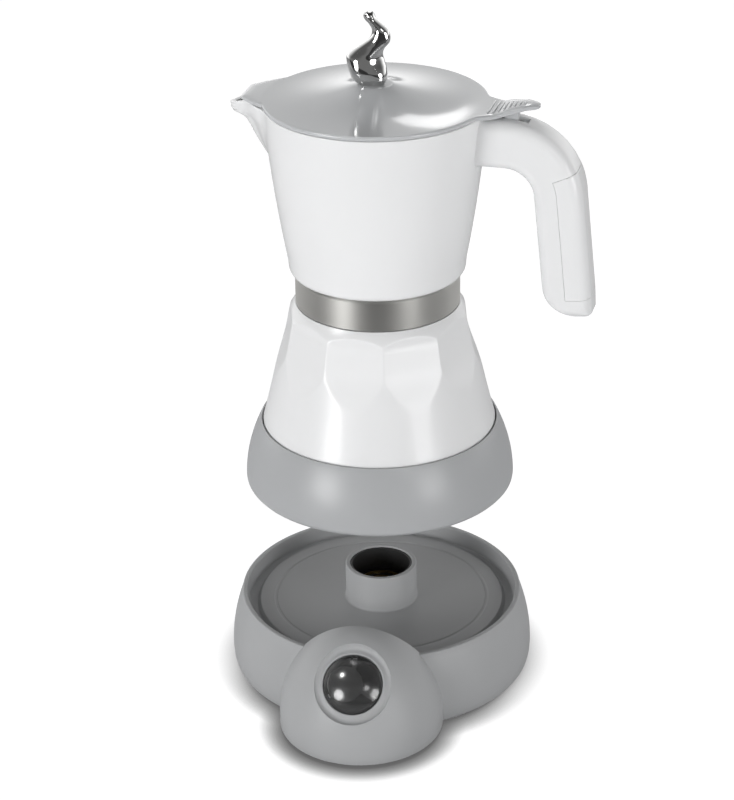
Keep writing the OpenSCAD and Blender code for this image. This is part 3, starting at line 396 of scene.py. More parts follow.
def wired(tree: bpy.types.NodeTree, rows: dict[str, NodeRow], links: str) -> None:
    """Adds nodes to a shader tree and joins them.

    Args:
        tree: The tree. Its named nodes can be joined too.
        rows: Name to (type, settings, start values of its inputs) of each new node.
        links: "node/output > node/input" pairs, each socket by its name or number.
    """
    nodes = {node.name: node for node in tree.nodes}
    for name, (kind, settings, starts) in rows.items():
        node = nodes[name] = tree.nodes.new("ShaderNode" + kind)
        for label, setting in settings.items():
            setattr(node, label, setting)
        for label, start in starts.items():
            node.inputs[label].default_value = start
    for link in links.split(","):
        ends = [end.strip().split("/") for end in link.split(">")]
        (source, out), (sink, into) = [(nodes[node], int(at) if at.isdigit() else at) for node, at in ends]
        tree.links.new(source.outputs[out], sink.inputs[into])


def calc(operation: str, starts: Optional[dict[int, float]] = None, **settings: object) -> NodeRow:
    """Returns the row of a math node with the start values of its inputs."""
    return "Math", {"operation": operation, **settings}, starts or {}


def ramp(low: float, high: float, first: float, last: float) -> NodeRow:
    """Returns the row of a node that runs smoothly from first at low to last at high."""
    ends = {"From Min": low, "From Max": high, "To Min": first, "To Max": last}
    return "MapRange", {"interpolation_type": "SMOOTHSTEP"}, ends


def bare(*kinds: str) -> dict[str, NodeRow]:
    """Returns rows of nodes with nothing to set, each named as its type."""
    return {kind: (kind, {}, {}) for kind in kinds}


class Effects:
    """Builds the shader node groups that several finishes share."""

    def __init__(self) -> None:
        """Builds each group once."""
        self.grain, self.handling, self.brushing = self._grain(), self._handling(), self._brushing()

    @staticmethod
    def _group(
        name: str, inputs: dict[str, float], outputs: Sequence[str], rows: dict[str, NodeRow], links: str
    ) -> bpy.types.NodeTree:
        """Builds a group.

        Args:
            name: The group's name.
            inputs: Name to start value of each input.
            outputs: Name of each output.
            rows: Its nodes, as wired takes them.
            links: Its links, from "in" and to "out".

        Returns:
            The group.
        """
        tree = bpy.data.node_groups.new(name, "ShaderNodeTree")
        kinds = {"Vector": "NodeSocketVector", "Colour": "NodeSocketColor"}
        for side, labels in (("INPUT", inputs), ("OUTPUT", outputs)):
            for label in labels:
                kind = kinds.get(label, "NodeSocketFloat")
                socket = tree.interface.new_socket(name=label, in_out=side, socket_type=kind)
                if side == "INPUT" and label not in kinds:
                    socket.default_value = inputs[label]
        tree.nodes.new("NodeGroupInput").name = "in"
        tree.nodes.new("NodeGroupOutput").name = "out"
        wired(tree, rows, links)
        return tree

    def _grain(self) -> bpy.types.NodeTree:
        """Builds the fine spark-eroded grain of moulded plastic.

        Returns:
            The group, which gives a height.
        """
        rows = {
            "fine": ("TexNoise", {}, {"Detail": 3.0}), "broad": ("TexVoronoi", {"feature": "SMOOTH_F1"}, {}),
            "half": calc("MULTIPLY", {1: 0.55}), "mix": calc("MULTIPLY_ADD", {1: 0.6}),
        }
        links = """in/Vector > fine/Vector, in/Scale > fine/Scale, in/Softness > fine/Roughness,
            in/Vector > broad/Vector, in/Scale > half/0, half/0 > broad/Scale, fine/Fac > mix/0,
            broad/Distance > mix/2, mix/0 > out/Height"""
        return self._group("MouldGrain", {"Vector": 0, "Scale": 2600, "Softness": 0.5}, ["Height"], rows, links)

    def _handling(self) -> bpy.types.NodeTree:
        """Builds the soft clouds that handling leaves.

        Returns:
            The group, which gives a slightly uneven colour and roughness.
        """
        rows = {
            "cloud": ("TexNoise", {}, {"Scale": 28.0, "Detail": 4.0, "Distortion": 0.6}),
            "centred": calc("SUBTRACT", {1: 0.5}), "shade": calc("MULTIPLY_ADD", {2: 1.0}),
            "tint": ("VectorMath", {"operation": "SCALE"}, {}), "dull": calc("MULTIPLY_ADD", use_clamp=True),
        }
        links = """in/Vector > cloud/Vector, cloud/Fac > centred/0, centred/0 > shade/0, in/Unevenness > shade/1,
            in/Colour > tint/0, shade/0 > tint/Scale, tint/Vector > out/Colour, centred/0 > dull/0,
            in/Spread > dull/1, in/Roughness > dull/2, dull/0 > out/Roughness"""
        inputs = {"Vector": 0, "Colour": 0, "Unevenness": 0.03, "Roughness": 0.3, "Spread": 0.06}
        return self._group("Handling", inputs, ("Colour", "Roughness"), rows, links)

    def _brushing(self) -> bpy.types.NodeTree:
        """Builds the fine lines of metal brushed round its girth.

        Returns:
            The group, which gives a height.
        """
        rows = {
            **bare("SeparateXYZ", "CombineXYZ"), "turn": calc("ARCTAN2"), "across": calc("MULTIPLY", {1: 0.04}),
            "along": calc("MULTIPLY"), "fine": calc("MULTIPLY"),
            "lines": ("TexNoise", {}, {"Scale": 1.0, "Detail": 5.0, "Roughness": 0.7}),
        }
        links = """in/Vector > SeparateXYZ/0, SeparateXYZ/Y > turn/0, SeparateXYZ/X > turn/1, turn/0 > across/0,
            across/0 > along/0, in/Length > along/1, SeparateXYZ/Z > fine/0, in/Lines > fine/1,
            along/0 > CombineXYZ/X, fine/0 > CombineXYZ/Z, CombineXYZ/0 > lines/Vector, lines/Fac > out/Height"""
        return self._group("Brushing", {"Vector": 0, "Lines": 5200, "Length": 60}, ["Height"], rows, links)


class Surface(Enum):
    """Which fine relief a finish carries."""

    GRAIN = "grain"
    BRUSHED = "brushed"


@dataclass(frozen=True)
class Finish:
    """One finish of the object.

    Attributes:
        name: The material's name.
        slot: The record's material slot. It is not used.
        colour: Base colour, linear.
        roughness: Roughness at its middle.
        metallic: 1 for bare metal.
        surface: Which relief it has.
        relief_scale: Grains per metre, or brush lines per metre.
        relief: Strength of the relief.
        relief_depth: Depth of the relief in metres.
        unevenness: How far the colour wanders.
        spread: How far the roughness wanders.
        coat: Weight of a clear coat.
        coat_roughness: Roughness of that coat.
        anisotropy: Stretch of the highlight on brushed metal.
        transmission: Weight of the light that passes through.
        ior: Index of refraction.
        specular: Specular level.
    """

    name: str
    slot: str
    colour: tuple[float, float, float]
    roughness: float
    metallic: float = 0.0
    surface: Surface = Surface.GRAIN
    relief_scale: float = 2600.0
    relief: float = 0.1
    relief_depth: float = 0.00004
    unevenness: float = 0.03
    spread: float = 0.06
    coat: float = 0.0
    coat_roughness: float = 0.05
    anisotropy: float = 0.0
    transmission: float = 0.0
    ior: float = 1.47
    specular: float = 0.5

    def material(self, effects: Effects) -> bpy.types.Material:
        """Builds the node material.

        Args:
            effects: The shared node groups.

        Returns:
            The material.
        """
        material = bpy.data.materials.new(self.name)
        material.use_nodes = True
        material.diffuse_color = (*self.colour, 1)
        material.node_tree.nodes.clear()
        group, scale = (effects.grain, "Scale") if self.surface is Surface.GRAIN else (effects.brushing, "Lines")
        rows = {
            **bare("OutputMaterial", "TexCoord"),
            "cloud": ("Group", {"node_tree": effects.handling}, {
                "Colour": (*self.colour, 1), "Unevenness": self.unevenness, "Roughness": self.roughness,
                "Spread": self.spread}),
            "relief": ("Group", {"node_tree": group}, {scale: self.relief_scale}),
            "bump": ("Bump", {}, {"Strength": self.relief, "Distance": self.relief_depth}),
            "shader": ("BsdfPrincipled", {}, {
                "Metallic": self.metallic, "IOR": self.ior, "Specular IOR Level": self.specular,
                "Coat Weight": self.coat, "Coat Roughness": self.coat_roughness, "Anisotropic": self.anisotropy,
                "Transmission Weight": self.transmission}),
        }
        links = """TexCoord/Object > cloud/Vector, TexCoord/Object > relief/Vector, relief/Height > bump/Height,
            cloud/Colour > shader/Base Color, cloud/Roughness > shader/Roughness, bump/Normal > shader/Normal,
            shader/0 > OutputMaterial/Surface"""
        if self.anisotropy:
            rows["tangent"] = ("Tangent", {"direction_type": "RADIAL", "axis": "Z"}, {})
            rows["shader"][2]["Anisotropic Rotation"] = 0.25
            links += ", tangent/0 > shader/Tangent"
        wired(material.node_tree, rows, links)
        return material


def grey(level: int, warm: float = 0.0) -> tuple[float, float, float]:
    """Returns the linear colour of a display grey of 0 to 255, warmed or cooled a little."""
    base = (level / 255) ** 2.2
    return (base * (1 + warm), base, base * (1 - warm))


FINISHES: dict[str, Finish] = {
    f.name: f
    for f in (
        Finish("housing_plastic", "housing_grey", grey(168, -0.015), 0.46, relief_scale=2400, relief=0.35,
               unevenness=0.08, spread=0.10, specular=0.45),
        Finish("skirt_plastic", "housing_grey", grey(172, -0.02), 0.34, relief_scale=2400, relief=0.28,
               unevenness=0.04, spread=0.08, specular=0.55),
        Finish("boiler_enamel", "boiler_white", grey(233, -0.005), 0.30, relief_scale=420, relief=0.05,
               relief_depth=0.00006, unevenness=0.015, spread=0.04, coat=0.12, coat_roughness=0.12),
        Finish("jug_gloss", "jug_white", grey(236, -0.005), 0.22, relief_scale=520, relief=0.05,
               relief_depth=0.00005, unevenness=0.015, spread=0.05, coat=0.2, coat_roughness=0.12),
        Finish("handle_gloss", "jug_white", grey(234, -0.005), 0.26, relief_scale=900, relief=0.06,
               unevenness=0.02, spread=0.06, coat=0.15, coat_roughness=0.15),
        Finish("lid_gloss", "lid_grey", grey(192, -0.02), 0.12, relief_scale=700, relief=0.08,
               unevenness=0.025, spread=0.04, coat=0.18, coat_roughness=0.05),
        Finish("collar_brushed", "collar_steel", (0.53, 0.525, 0.505), 0.58, metallic=1.0, surface=Surface.BRUSHED,
               relief_scale=5200, relief=0.18, relief_depth=0.00002, unevenness=0.12, spread=0.12, anisotropy=0.8),
        Finish("knob_mirror", "knob_chrome", (0.66, 0.66, 0.655), 0.06, metallic=1.0, relief_scale=260, relief=0.04,
               relief_depth=0.00008, unevenness=0.05, spread=0.05),
        Finish("lens_tinted", "lens_dark", (0.20, 0.20, 0.20), 0.15, relief_scale=900, relief=0.02,
               unevenness=0.05, spread=0.02, coat=0.8, coat_roughness=0.20, transmission=0.92, ior=1.49,
               specular=0.0),
        Finish("lens_backing", "lens_dark", grey(38), 0.5, relief_scale=2000, relief=0.2, unevenness=0.15),
        Finish("black_moulding", "black_plastic", grey(50), 0.5, relief_scale=2600, relief=0.3, unevenness=0.15),
        Finish("black_rubber", "rubber_black", grey(40), 0.75, relief_scale=1800, relief=0.4, unevenness=0.2),
        Finish("plain_steel", "steel_small", (0.48, 0.48, 0.48), 0.32, metallic=1.0, relief_scale=3200, relief=0.12,
               unevenness=0.15, spread=0.15),
        Finish("contact_brass", "contact_brass", (0.60, 0.42, 0.16), 0.28, metallic=1.0, relief_scale=3000,
               relief=0.1, unevenness=0.18, spread=0.15),
        Finish("board_lacquer", "board_green", (0.02, 0.10, 0.035), 0.3, relief_scale=1500, relief=0.15,
               unevenness=0.2, coat=0.4),
        Finish("white_moulding", "white_small", grey(222), 0.4, relief_scale=2400, relief=0.2, unevenness=0.05),
        Finish("cast_metal", "cast_aluminium", (0.52, 0.52, 0.53), 0.38, metallic=1.0, relief_scale=1300, relief=0.3,
               unevenness=0.15, spread=0.16),
        Finish("turned_metal", "cast_aluminium", (0.58, 0.58, 0.59), 0.3, metallic=1.0, surface=Surface.BRUSHED,
               relief_scale=3600, relief=0.2, relief_depth=0.00003, unevenness=0.1, spread=0.12, anisotropy=0.5),
        Finish("gasket_rubber", "gasket_rubber", grey(226, 0.03), 0.6, relief_scale=1600, relief=0.2,
               unevenness=0.06),
    )
}

# The CAD nodes that each finish dresses.
NODE_FINISH: dict[str, str] = {
    "black_moulding": (
        "base_bottom_cover hub_connector switch_holder coupler_body pot_bottom_cover thermostat"
    ),
    "black_rubber": "rubber_feet cord_grommet",
    "plain_steel": (
        "base_screws button_spring pot_bottom_screws heating_element plate_screws "
        "valve_spring handle_screw hinge_pin knob_screw"
    ),
    "contact_brass": "hub_contacts coupler_contacts safety_valve valve_pin",
    "white_moulding": "power_switch terminal_block button_core thermal_fuse",
    "board_lacquer": "indicator_board",
    "turned_metal": "heating_plate collector_base filter_plate riser_column",
    "cast_metal": "coffee_funnel riser_cap",
    "gasket_rubber": "gasket",
}


class Workshop:
    """Holds the finished materials and turns shapes into pieces that ride on a body."""

    def __init__(self) -> None:
        """Builds every finish once."""
        effects = Effects()
        self.materials = {name: finish.material(effects) for name, finish in FINISHES.items()}

    def piece(
        self, name: str, bm: Shape, body: Body, finish: str, at: Optional[Matrix] = None,
        replaces: Sequence[str] = (), crease: float = 38.0,
    ) -> bpy.types.Object:
        """Makes a finished piece of a shape.

        Args:
            name: The piece's name.
            bm: Its shape in metres. It is freed.
            body: The body that it rides on.
            finish: The name of its finish.
            at: Matrix from the shape's frame to the row frame.
            replaces: CAD nodes that the piece stands for.
            crease: Angle in degrees above which an edge stays sharp in the shading.

        Returns:
            The object, at the origin, with its place in its mesh.
        """
        mesh = meshed(name, bm if at is None else moved(bm, at))
        mesh.shade_smooth()
        mesh.set_sharp_from_angle(angle=math.radians(crease))
        mesh.materials.append(self.materials[finish])
        thing = linked(name, mesh)
        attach(thing, body.value)
        if replaces:
            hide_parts(*replaces)
        LOG.info("piece %s on %s: %d faces", name, body.value, len(mesh.polygons))
        return thing

    def dress_nodes(self) -> None:
        """Gives every CAD node that still shows its finish."""
        for finish, nodes in NODE_FINISH.items():
            for node in nodes.split():
                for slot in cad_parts[node].material_slots:
                    slot.material = self.materials[finish]
                LOG.info("node %s dressed as %s", node, finish)


# The power base


@dataclass
class PowerBase:
    """The round base with its dish, hub and button hood.

    Attributes:
        belly: Widest radius, at the height belly_z.
        belly_z: Height of the widest place.
        rim_r: Outer radius of the rim.
        dish_r: Radius of the dish wall.
        height: Height of the rim.
        seat_z: Height of the raised seat.
        groove_z: Height of the groove's floor.
        seat_r: Radius of the seat.
        hub_r: Outer radius of the hub.
        hub_bore: Radius of its bore.
        hub_top: Height of its rim.
        hood_r: Radius of the hood.
        hood_low: Height of its widest place.
        hood_rise: Rise of its round top above that place.
        hood_round: Roundness of the top's side; 1 is an ellipse.
        foot: Height of the lower edge.
        wall: Wall thickness.
        lens_bore: Radius of the button's bore.
        lip: Height of the lip round the button on its axis.
        ring_r: Outer radius of the hollow ring round the button.
        ring_low: Height of that ring's floor on the button's axis.
        steps: Steps of a turn.
    """

    belly: float = 75.95
    belly_z: float = 10.0
    rim_r: float = 70.4
    dish_r: float = 68.0
    height: float = 40.0
    seat_z: float = 34.2
    groove_z: float = 31.6
    seat_r: float = 62.0
    hub_r: float = 17.9
    hub_bore: float = 15.7
    hub_top: float = 53.5
    hood_r: float = 40.0
    hood_low: float = 10.0
    hood_rise: float = 46.6
    hood_round: float = 1.12
    foot: float = 2.0
    wall: float = 2.5
    lens_bore: float = 14.4
    lip: float = 35.2
    ring_r: float = 20.2
    ring_low: float = 34.1
    steps: int = 240

    def _belly_corners(self) -> list[Corner]:
        """Works out the outer side from the rim down to the foot.

        Returns:
            Its corners.
        """
        turn_in, rise = self.belly - self.rim_r, self.height - 1.4 - self.belly_z
        shares = [1 - k / 13 for k in range(14)]
        corners = [(self.belly - turn_in * t * t, self.belly_z + rise * t, 0) for t in shares]
        return corners + [(75.7, 6.0, 0.0), (75.0, 3.2, 0.9), (73.9, self.foot, 0.3)]

    def shell(self) -> Shape:
        """Makes the round shell with its dish and hub.

        Returns:
            The shape, in metres.
        """
        corners: list[Corner] = [
            (self.hub_bore, 29.1, 0), (self.hub_bore, self.hub_top, 0.5), (self.hub_r, self.hub_top, 0.7),
            (self.hub_r, self.seat_z, 1.1), (52.6, self.seat_z, 0.3), (53.1, self.seat_z - 0.3, 0.2),
            (54.0, self.seat_z - 0.3, 0.2), (54.5, self.seat_z, 0.3), (self.seat_r - 0.6, self.seat_z, 0.7),
            (self.seat_r + 0.9, self.groove_z, 0.7), (67.2, self.groove_z, 0.6), (67.8, 38.4, 0.3),
            (self.dish_r, self.height, 0.55), (self.rim_r, self.height, 1.1),
        ]
        corners += self._belly_corners()
        corners += [(73.5, self.foot, 0.0), (73.3, 12.0, 0.4), (67.8, 29.1, 0.6)]
        bm = turned(rounded(corners, 4, closed=True), self.steps, closed=True)
        recess = drum(self.hood_r - self.wall - 0.2, 9.95)
        return carved(bm, [moved(recess, Matrix.Translation(Vector((0, -PLACE.hood_forward, -5.0)) * MM))])

    def _dome(self) -> list[Point]:
        """Works out the hood's round side from its top down to its widest place.

        Returns:
            Its points.
        """
        points: list[Point] = [(0.0, self.hood_low + self.hood_rise)]
        for k in range(1, 49):
            a = math.pi / 2 * (1 - k / 48)
            points.append((self.hood_r * math.cos(a) ** self.hood_round,
                           self.hood_low + self.hood_rise * math.sin(a) ** self.hood_round))
        return points

    def _button_hollow(self) -> Shape:
        """Makes the space of the button's bore and of the hollow ring round it.

        Returns:
            The shape, in metres.
        """
        low, high = 25.9, 60.0
        corners: list[Corner] = [
            (0, low, 0), (self.lens_bore, low, 0), (self.lens_bore, self.lip, 0.3), (15.3, self.lip - 0.1, 0.8),
            (16.9, self.ring_low, 1.6), (18.4, self.ring_low + 0.5, 1.4), (self.ring_r, 37.2, 2.5),
            (self.ring_r + 0.6, high, 0), (0, high, 0),
        ]
        return moved(turned(rounded(corners, 4), 180, closed=False), PLACE.button())

    def hood(self) -> Shape:
        """Makes the round-topped hood with its hollow ring, cut flush with the dish wall.

        Returns:
            The shape, in metres.
        """
        inner, dish_cut = self.hood_r - self.wall - 0.1, self.dish_r + 0.15
        side = self._dome() + [
            (self.hood_r, 6.0), (self.hood_r, self.foot + 0.7), (self.hood_r - 0.2, self.foot + 0.2),
            (self.hood_r - 0.7, self.foot), (inner, self.foot), (inner, 5.0), (0.0, 5.0),
        ]
        forward = Matrix.Translation(Vector((0, -PLACE.hood_forward, 0)) * MM)
        bm = moved(turned(side, self.steps, closed=False), forward)
        dish = moved(drum(dish_cut, 60, 360), Matrix.Translation((0, 0, 33 * MM)))
        under = moved(drum(74.2, 9.9, 360), Matrix.Translation((0, 0, -5 * MM)))
        bm = carved(bm, [dish, under, self._button_hollow()])
        place = PLACE.button().inverted()

        def on_rim(edge: bmesh.types.BMEdge) -> bool:
            """Tests an edge.

            Args:
                edge: An edge of the hood.

            Returns:
                Whether it lies on the dish wall's or the hollow ring's upper edge.
            """
            if all(abs(v.co.xy.length - dish_cut * MM) < 0.03 * MM and v.co.z > 41 * MM for v in edge.verts):
                return True
            spots = [place @ v.co for v in edge.verts]
            return all(18.2 < p.xy.length / MM < 21.5 and p.z > 33 * MM for p in spots)

        soften(bm, on_rim, 0.6, 3)
        return bm

    def build(self, shop: Workshop) -> None:
        """Makes the shell and the hood."""
        shop.piece("base_shell", self.shell(), Body.BASE, "housing_plastic", replaces=["base_housing"], crease=32)
        shop.piece("base_hood", self.hood(), Body.BASE, "housing_plastic", crease=32)


@dataclass
class PowerButton:
    """The domed dark lens of the push button.

    Attributes:
        radius: Radius of the lens.
        edge: Height of the dome's edge on the button's axis.
        dome: Height of the dome.
        wall: Wall of the lens.
        skirt: Length of the skirt under the dome.
        bore: Radius of the tray's bore for the plunger.
    """

    radius: float = 14.1
    edge: float = 35.4
    dome: float = 5.0
    wall: float = 1.6
    skirt: float = 5.0
    bore: float = 3.8

    def lens(self) -> Shape:
        """Makes the lens shell on the button's axis.

        Returns:
            The shape, in metres.
        """
        ball = (self.radius**2 + self.dome**2) / (2 * self.dome)
        centre = self.edge + self.dome - ball

        def arc(size: float, reach: float, steps: Sequence[int]) -> list[Point]:
            """Returns the points of a dome of a ball's size at the steps of 20 out to a reach."""
            turns = [math.asin(reach / size) * k / 20 for k in steps]
            return [(size * math.sin(a), centre + size * math.cos(a)) for a in turns]

        outer = arc(ball, self.radius, range(20))
        inner = arc(ball - self.wall, self.radius - self.wall, range(20, -1, -1))
        rim = rounded(
            [(*outer[-1], 0), (self.radius, self.edge - 0.1, 0.5), (self.radius, self.edge - self.skirt, 0.3),
             (self.radius - self.wall, self.edge - self.skirt, 0.3), (*inner[0], 0)], 3,
        )
        return turned(outer + rim[1:-1] + inner, 96, closed=False)

    def backing(self) -> Shape:
        """Makes the dark tray behind the disc, with its raised edge.

        Returns:
            The shape, in metres.
        """
        r = self.radius - self.wall - 0.15
        low = self.edge - self.skirt + 1.7
        corners: list[Corner] = [
            (self.bore, low, 0.1), (r, low, 0.2), (r, low + 1.6, 0.2), (r - 0.8, low + 1.6, 0.2),
            (r - 1.0, low + 0.8, 0.2), (self.bore, low + 0.8, 0.1),
        ]
        return turned(rounded(corners, 3, closed=True), 72, closed=True)

    def build(self, shop: Workshop) -> None:
        """Makes the lens and its tray."""
        shop.piece("button_lens_dome", self.lens(), Body.BUTTON, "lens_tinted", PLACE.button(), ["button_lens"])
        shop.piece("button_tray", self.backing(), Body.BUTTON, "lens_backing", PLACE.button())


# The pot


@dataclass
class Skirt:
    """The grey shell round the pot's foot.

    Attributes:
        radius: Widest radius.
        top_r: Radius of its upper edge.
        height: Height.
        opening: Radius of the opening that the boiler stands in.
    """

    radius: float = 66.0
    top_r: float = 58.1
    height: float = 32.7
    opening: float = 57.4

    def build(self, shop: Workshop) -> None:
        """Makes the shell.

        Args:
            shop: The workshop that makes the pieces.
        """
        corners: list[Corner] = [(63.6, 0.0, 0.1), (64.6, 0.0, 0.5), (self.radius - 0.25, 1.4, 1.2)]
        for k in range(16):
            t = 0.04 + 0.96 * k / 15
            corners.append((self.radius - (self.radius - self.top_r) * t * t, 1.8 + (self.height - 1.8) * t,
                            0.45 if k == 15 else 0.0))
        corners += [(self.opening, self.height, 0.3), (self.opening - 0.05, self.height - 3.5, 0.0)]
        for k in range(7):
            t = 0.85 * (1 - k / 6)
            corners.append((63.6 - (63.6 - 55.6) * t * t, 2.0 + 29.0 * t, 0.0))
        shop.piece("skirt_shell", turned(rounded(corners, 4, closed=True), 240, closed=True), Body.POT,
                   "skirt_plastic", PLACE.pot(), ["pot_skirt"], 32)


@dataclass
class Boiler:
    """The white faceted boiler.

    Attributes:
        low_r: Radius where it meets the skirt, at the height low_z.
        low_z: Height of the skirt's upper edge.
        bulge_r: Radius where the side turns in to the shoulder, at bulge_z.
        bulge_z: Height of that turn.
        top_r: Radius at the collar, at top_z.
        top_z: Height of the shoulder.
        sag: Inward bow of the side.
        facets: Number of flat faces.
        facet_depth: Depth of a face under the round side.
        facet_low: Height below which a face runs out.
        facet_fade: Length of that run-out.
        facet_high: Height above which it runs out into the shoulder.
        facet_arch: Length of that run-out.
        softness: Width over which a face blends into the round side.
    """

    low_r: float = 56.8
    low_z: float = 32.7
    bulge_r: float = 45.0
    bulge_z: float = 85.0
    top_r: float = 39.6
    top_z: float = 94.6
    sag: float = 0.5
    facets: int = 10
    facet_depth: float = 2.5
    facet_low: float = 76.0
    facet_fade: float = 21.0
    facet_high: float = 86.0
    facet_arch: float = 5.6
    softness: float = 0.08

    def _side(self) -> list[Point]:
        """Works out the round side from below the skirt's edge to the collar.

        Returns:
            Its points.
        """
        points: list[Point] = [(self.low_r, 27.0), (self.low_r, self.low_z - 0.4)]
        for k in range(82):
            t = k / 81
            points.append((self.low_r + (self.bulge_r - self.low_r) * t - 4 * self.sag * t * (1 - t),
                           self.low_z + (self.bulge_z - self.low_z) * t))
        p0, p2 = Vector((self.bulge_r, self.bulge_z)), Vector((self.top_r, self.top_z))
        p1 = Vector((self.bulge_r - 1.1, self.top_z - 4.7))
        for k in range(1, 27):
            t = k / 26
            p = (1 - t) ** 2 * p0 + 2 * t * (1 - t) * p1 + t * t * p2
            points.append((p.x, p.y))
        return points

    def _depth(self, z: float) -> float:
        """Works out how deep the middle of a facet lies under the round side.

        Args:
            z: The height.

        Returns:
            The depth.
        """
        if z < self.facet_low:
            return self.facet_depth * (1 - smoothstep(0, self.facet_fade, self.facet_low - z))
        out = max(0.0, (z - self.facet_high) / self.facet_arch)
        return self.facet_depth * (1 - out * out)

    def _faceted(self, radius: float, z: float, angle: float) -> float:
        """Takes the flat faces off a radius.

        Args:
            radius: Radius of the round side.
            z: Height.
            angle: Direction in degrees.

        Returns:
            The radius that is left.
        """
        pitch = 360 / self.facets
        off = angle % pitch - pitch / 2
        flat = (radius - self._depth(z)) / math.cos(math.radians(off))
        k = self.softness
        gap = (flat - radius) / k
        if gap > 12:
            return radius
        if gap < -12:
            return flat
        return radius - k * math.log1p(math.exp(-gap))

    def build(self, shop: Workshop) -> None:
        """Makes the boiler's skin.

        Args:
            shop: The workshop that makes the pieces.
        """
        profile = self._side() + [
            (36.0, self.top_z), (36.0, 100.0), (33.4, 100.0), (33.4, 92.0), (42.0, 84.0), (50.0, 34.0),
            (49.8, 29.8), (49.8, 27.0),
        ]
        bm = turned(profile, 540, closed=True)
        for vert in bm.verts:
            r, z = vert.co.xy.length / MM, vert.co.z / MM
            inside = z < self.bulge_z and r < min(50.2 - (z - 34) * 0.15, 44)
            if r < self.top_r - 0.5 or z < self.low_z + 3 or inside:
                continue
            new = self._faceted(r, z, math.degrees(math.atan2(vert.co.y, vert.co.x)))
            vert.co.xy = vert.co.xy * (new / r)
        bmesh.ops.recalc_face_normals(bm, faces=bm.faces[:])
        shop.piece("boiler_skin", bm, Body.POT, "boiler_enamel", PLACE.pot(), ["boiler"], 40)


@dataclass
class Collar:
    """The brushed steel sleeve between boiler and jug.

    Attributes:
        radius: Outer radius.
        low: Height of the lower edge.
        high: Height of the upper edge.
        turn_in: Radius of the rounding at the top.
        wall: Sheet thickness.
    """

    radius: float = 39.5
    low: float = 95.0
    high: float = 110.2
    turn_in: float = 3.0
    wall: float = 1.1

    def build(self, shop: Workshop) -> None:
        """Makes the sleeve.

        Args:
            shop: The workshop that makes the pieces.
        """
        corners: list[Corner] = [
            (self.radius - self.wall, self.low, 0.25), (self.radius, self.low, 0.3),
            (self.radius, self.high, self.turn_in), (self.radius - 3.6, self.high, 0.2),
            (self.radius - 3.6, self.high - self.wall, 0.2), (self.radius - self.wall, self.high - self.wall, 1.8),
        ]
        shop.piece("collar_sleeve", turned(rounded(corners, 8, closed=True), 216, closed=True), Body.JUG,
                   "collar_brushed", PLACE.pot(), ["steel_collar"], 32)


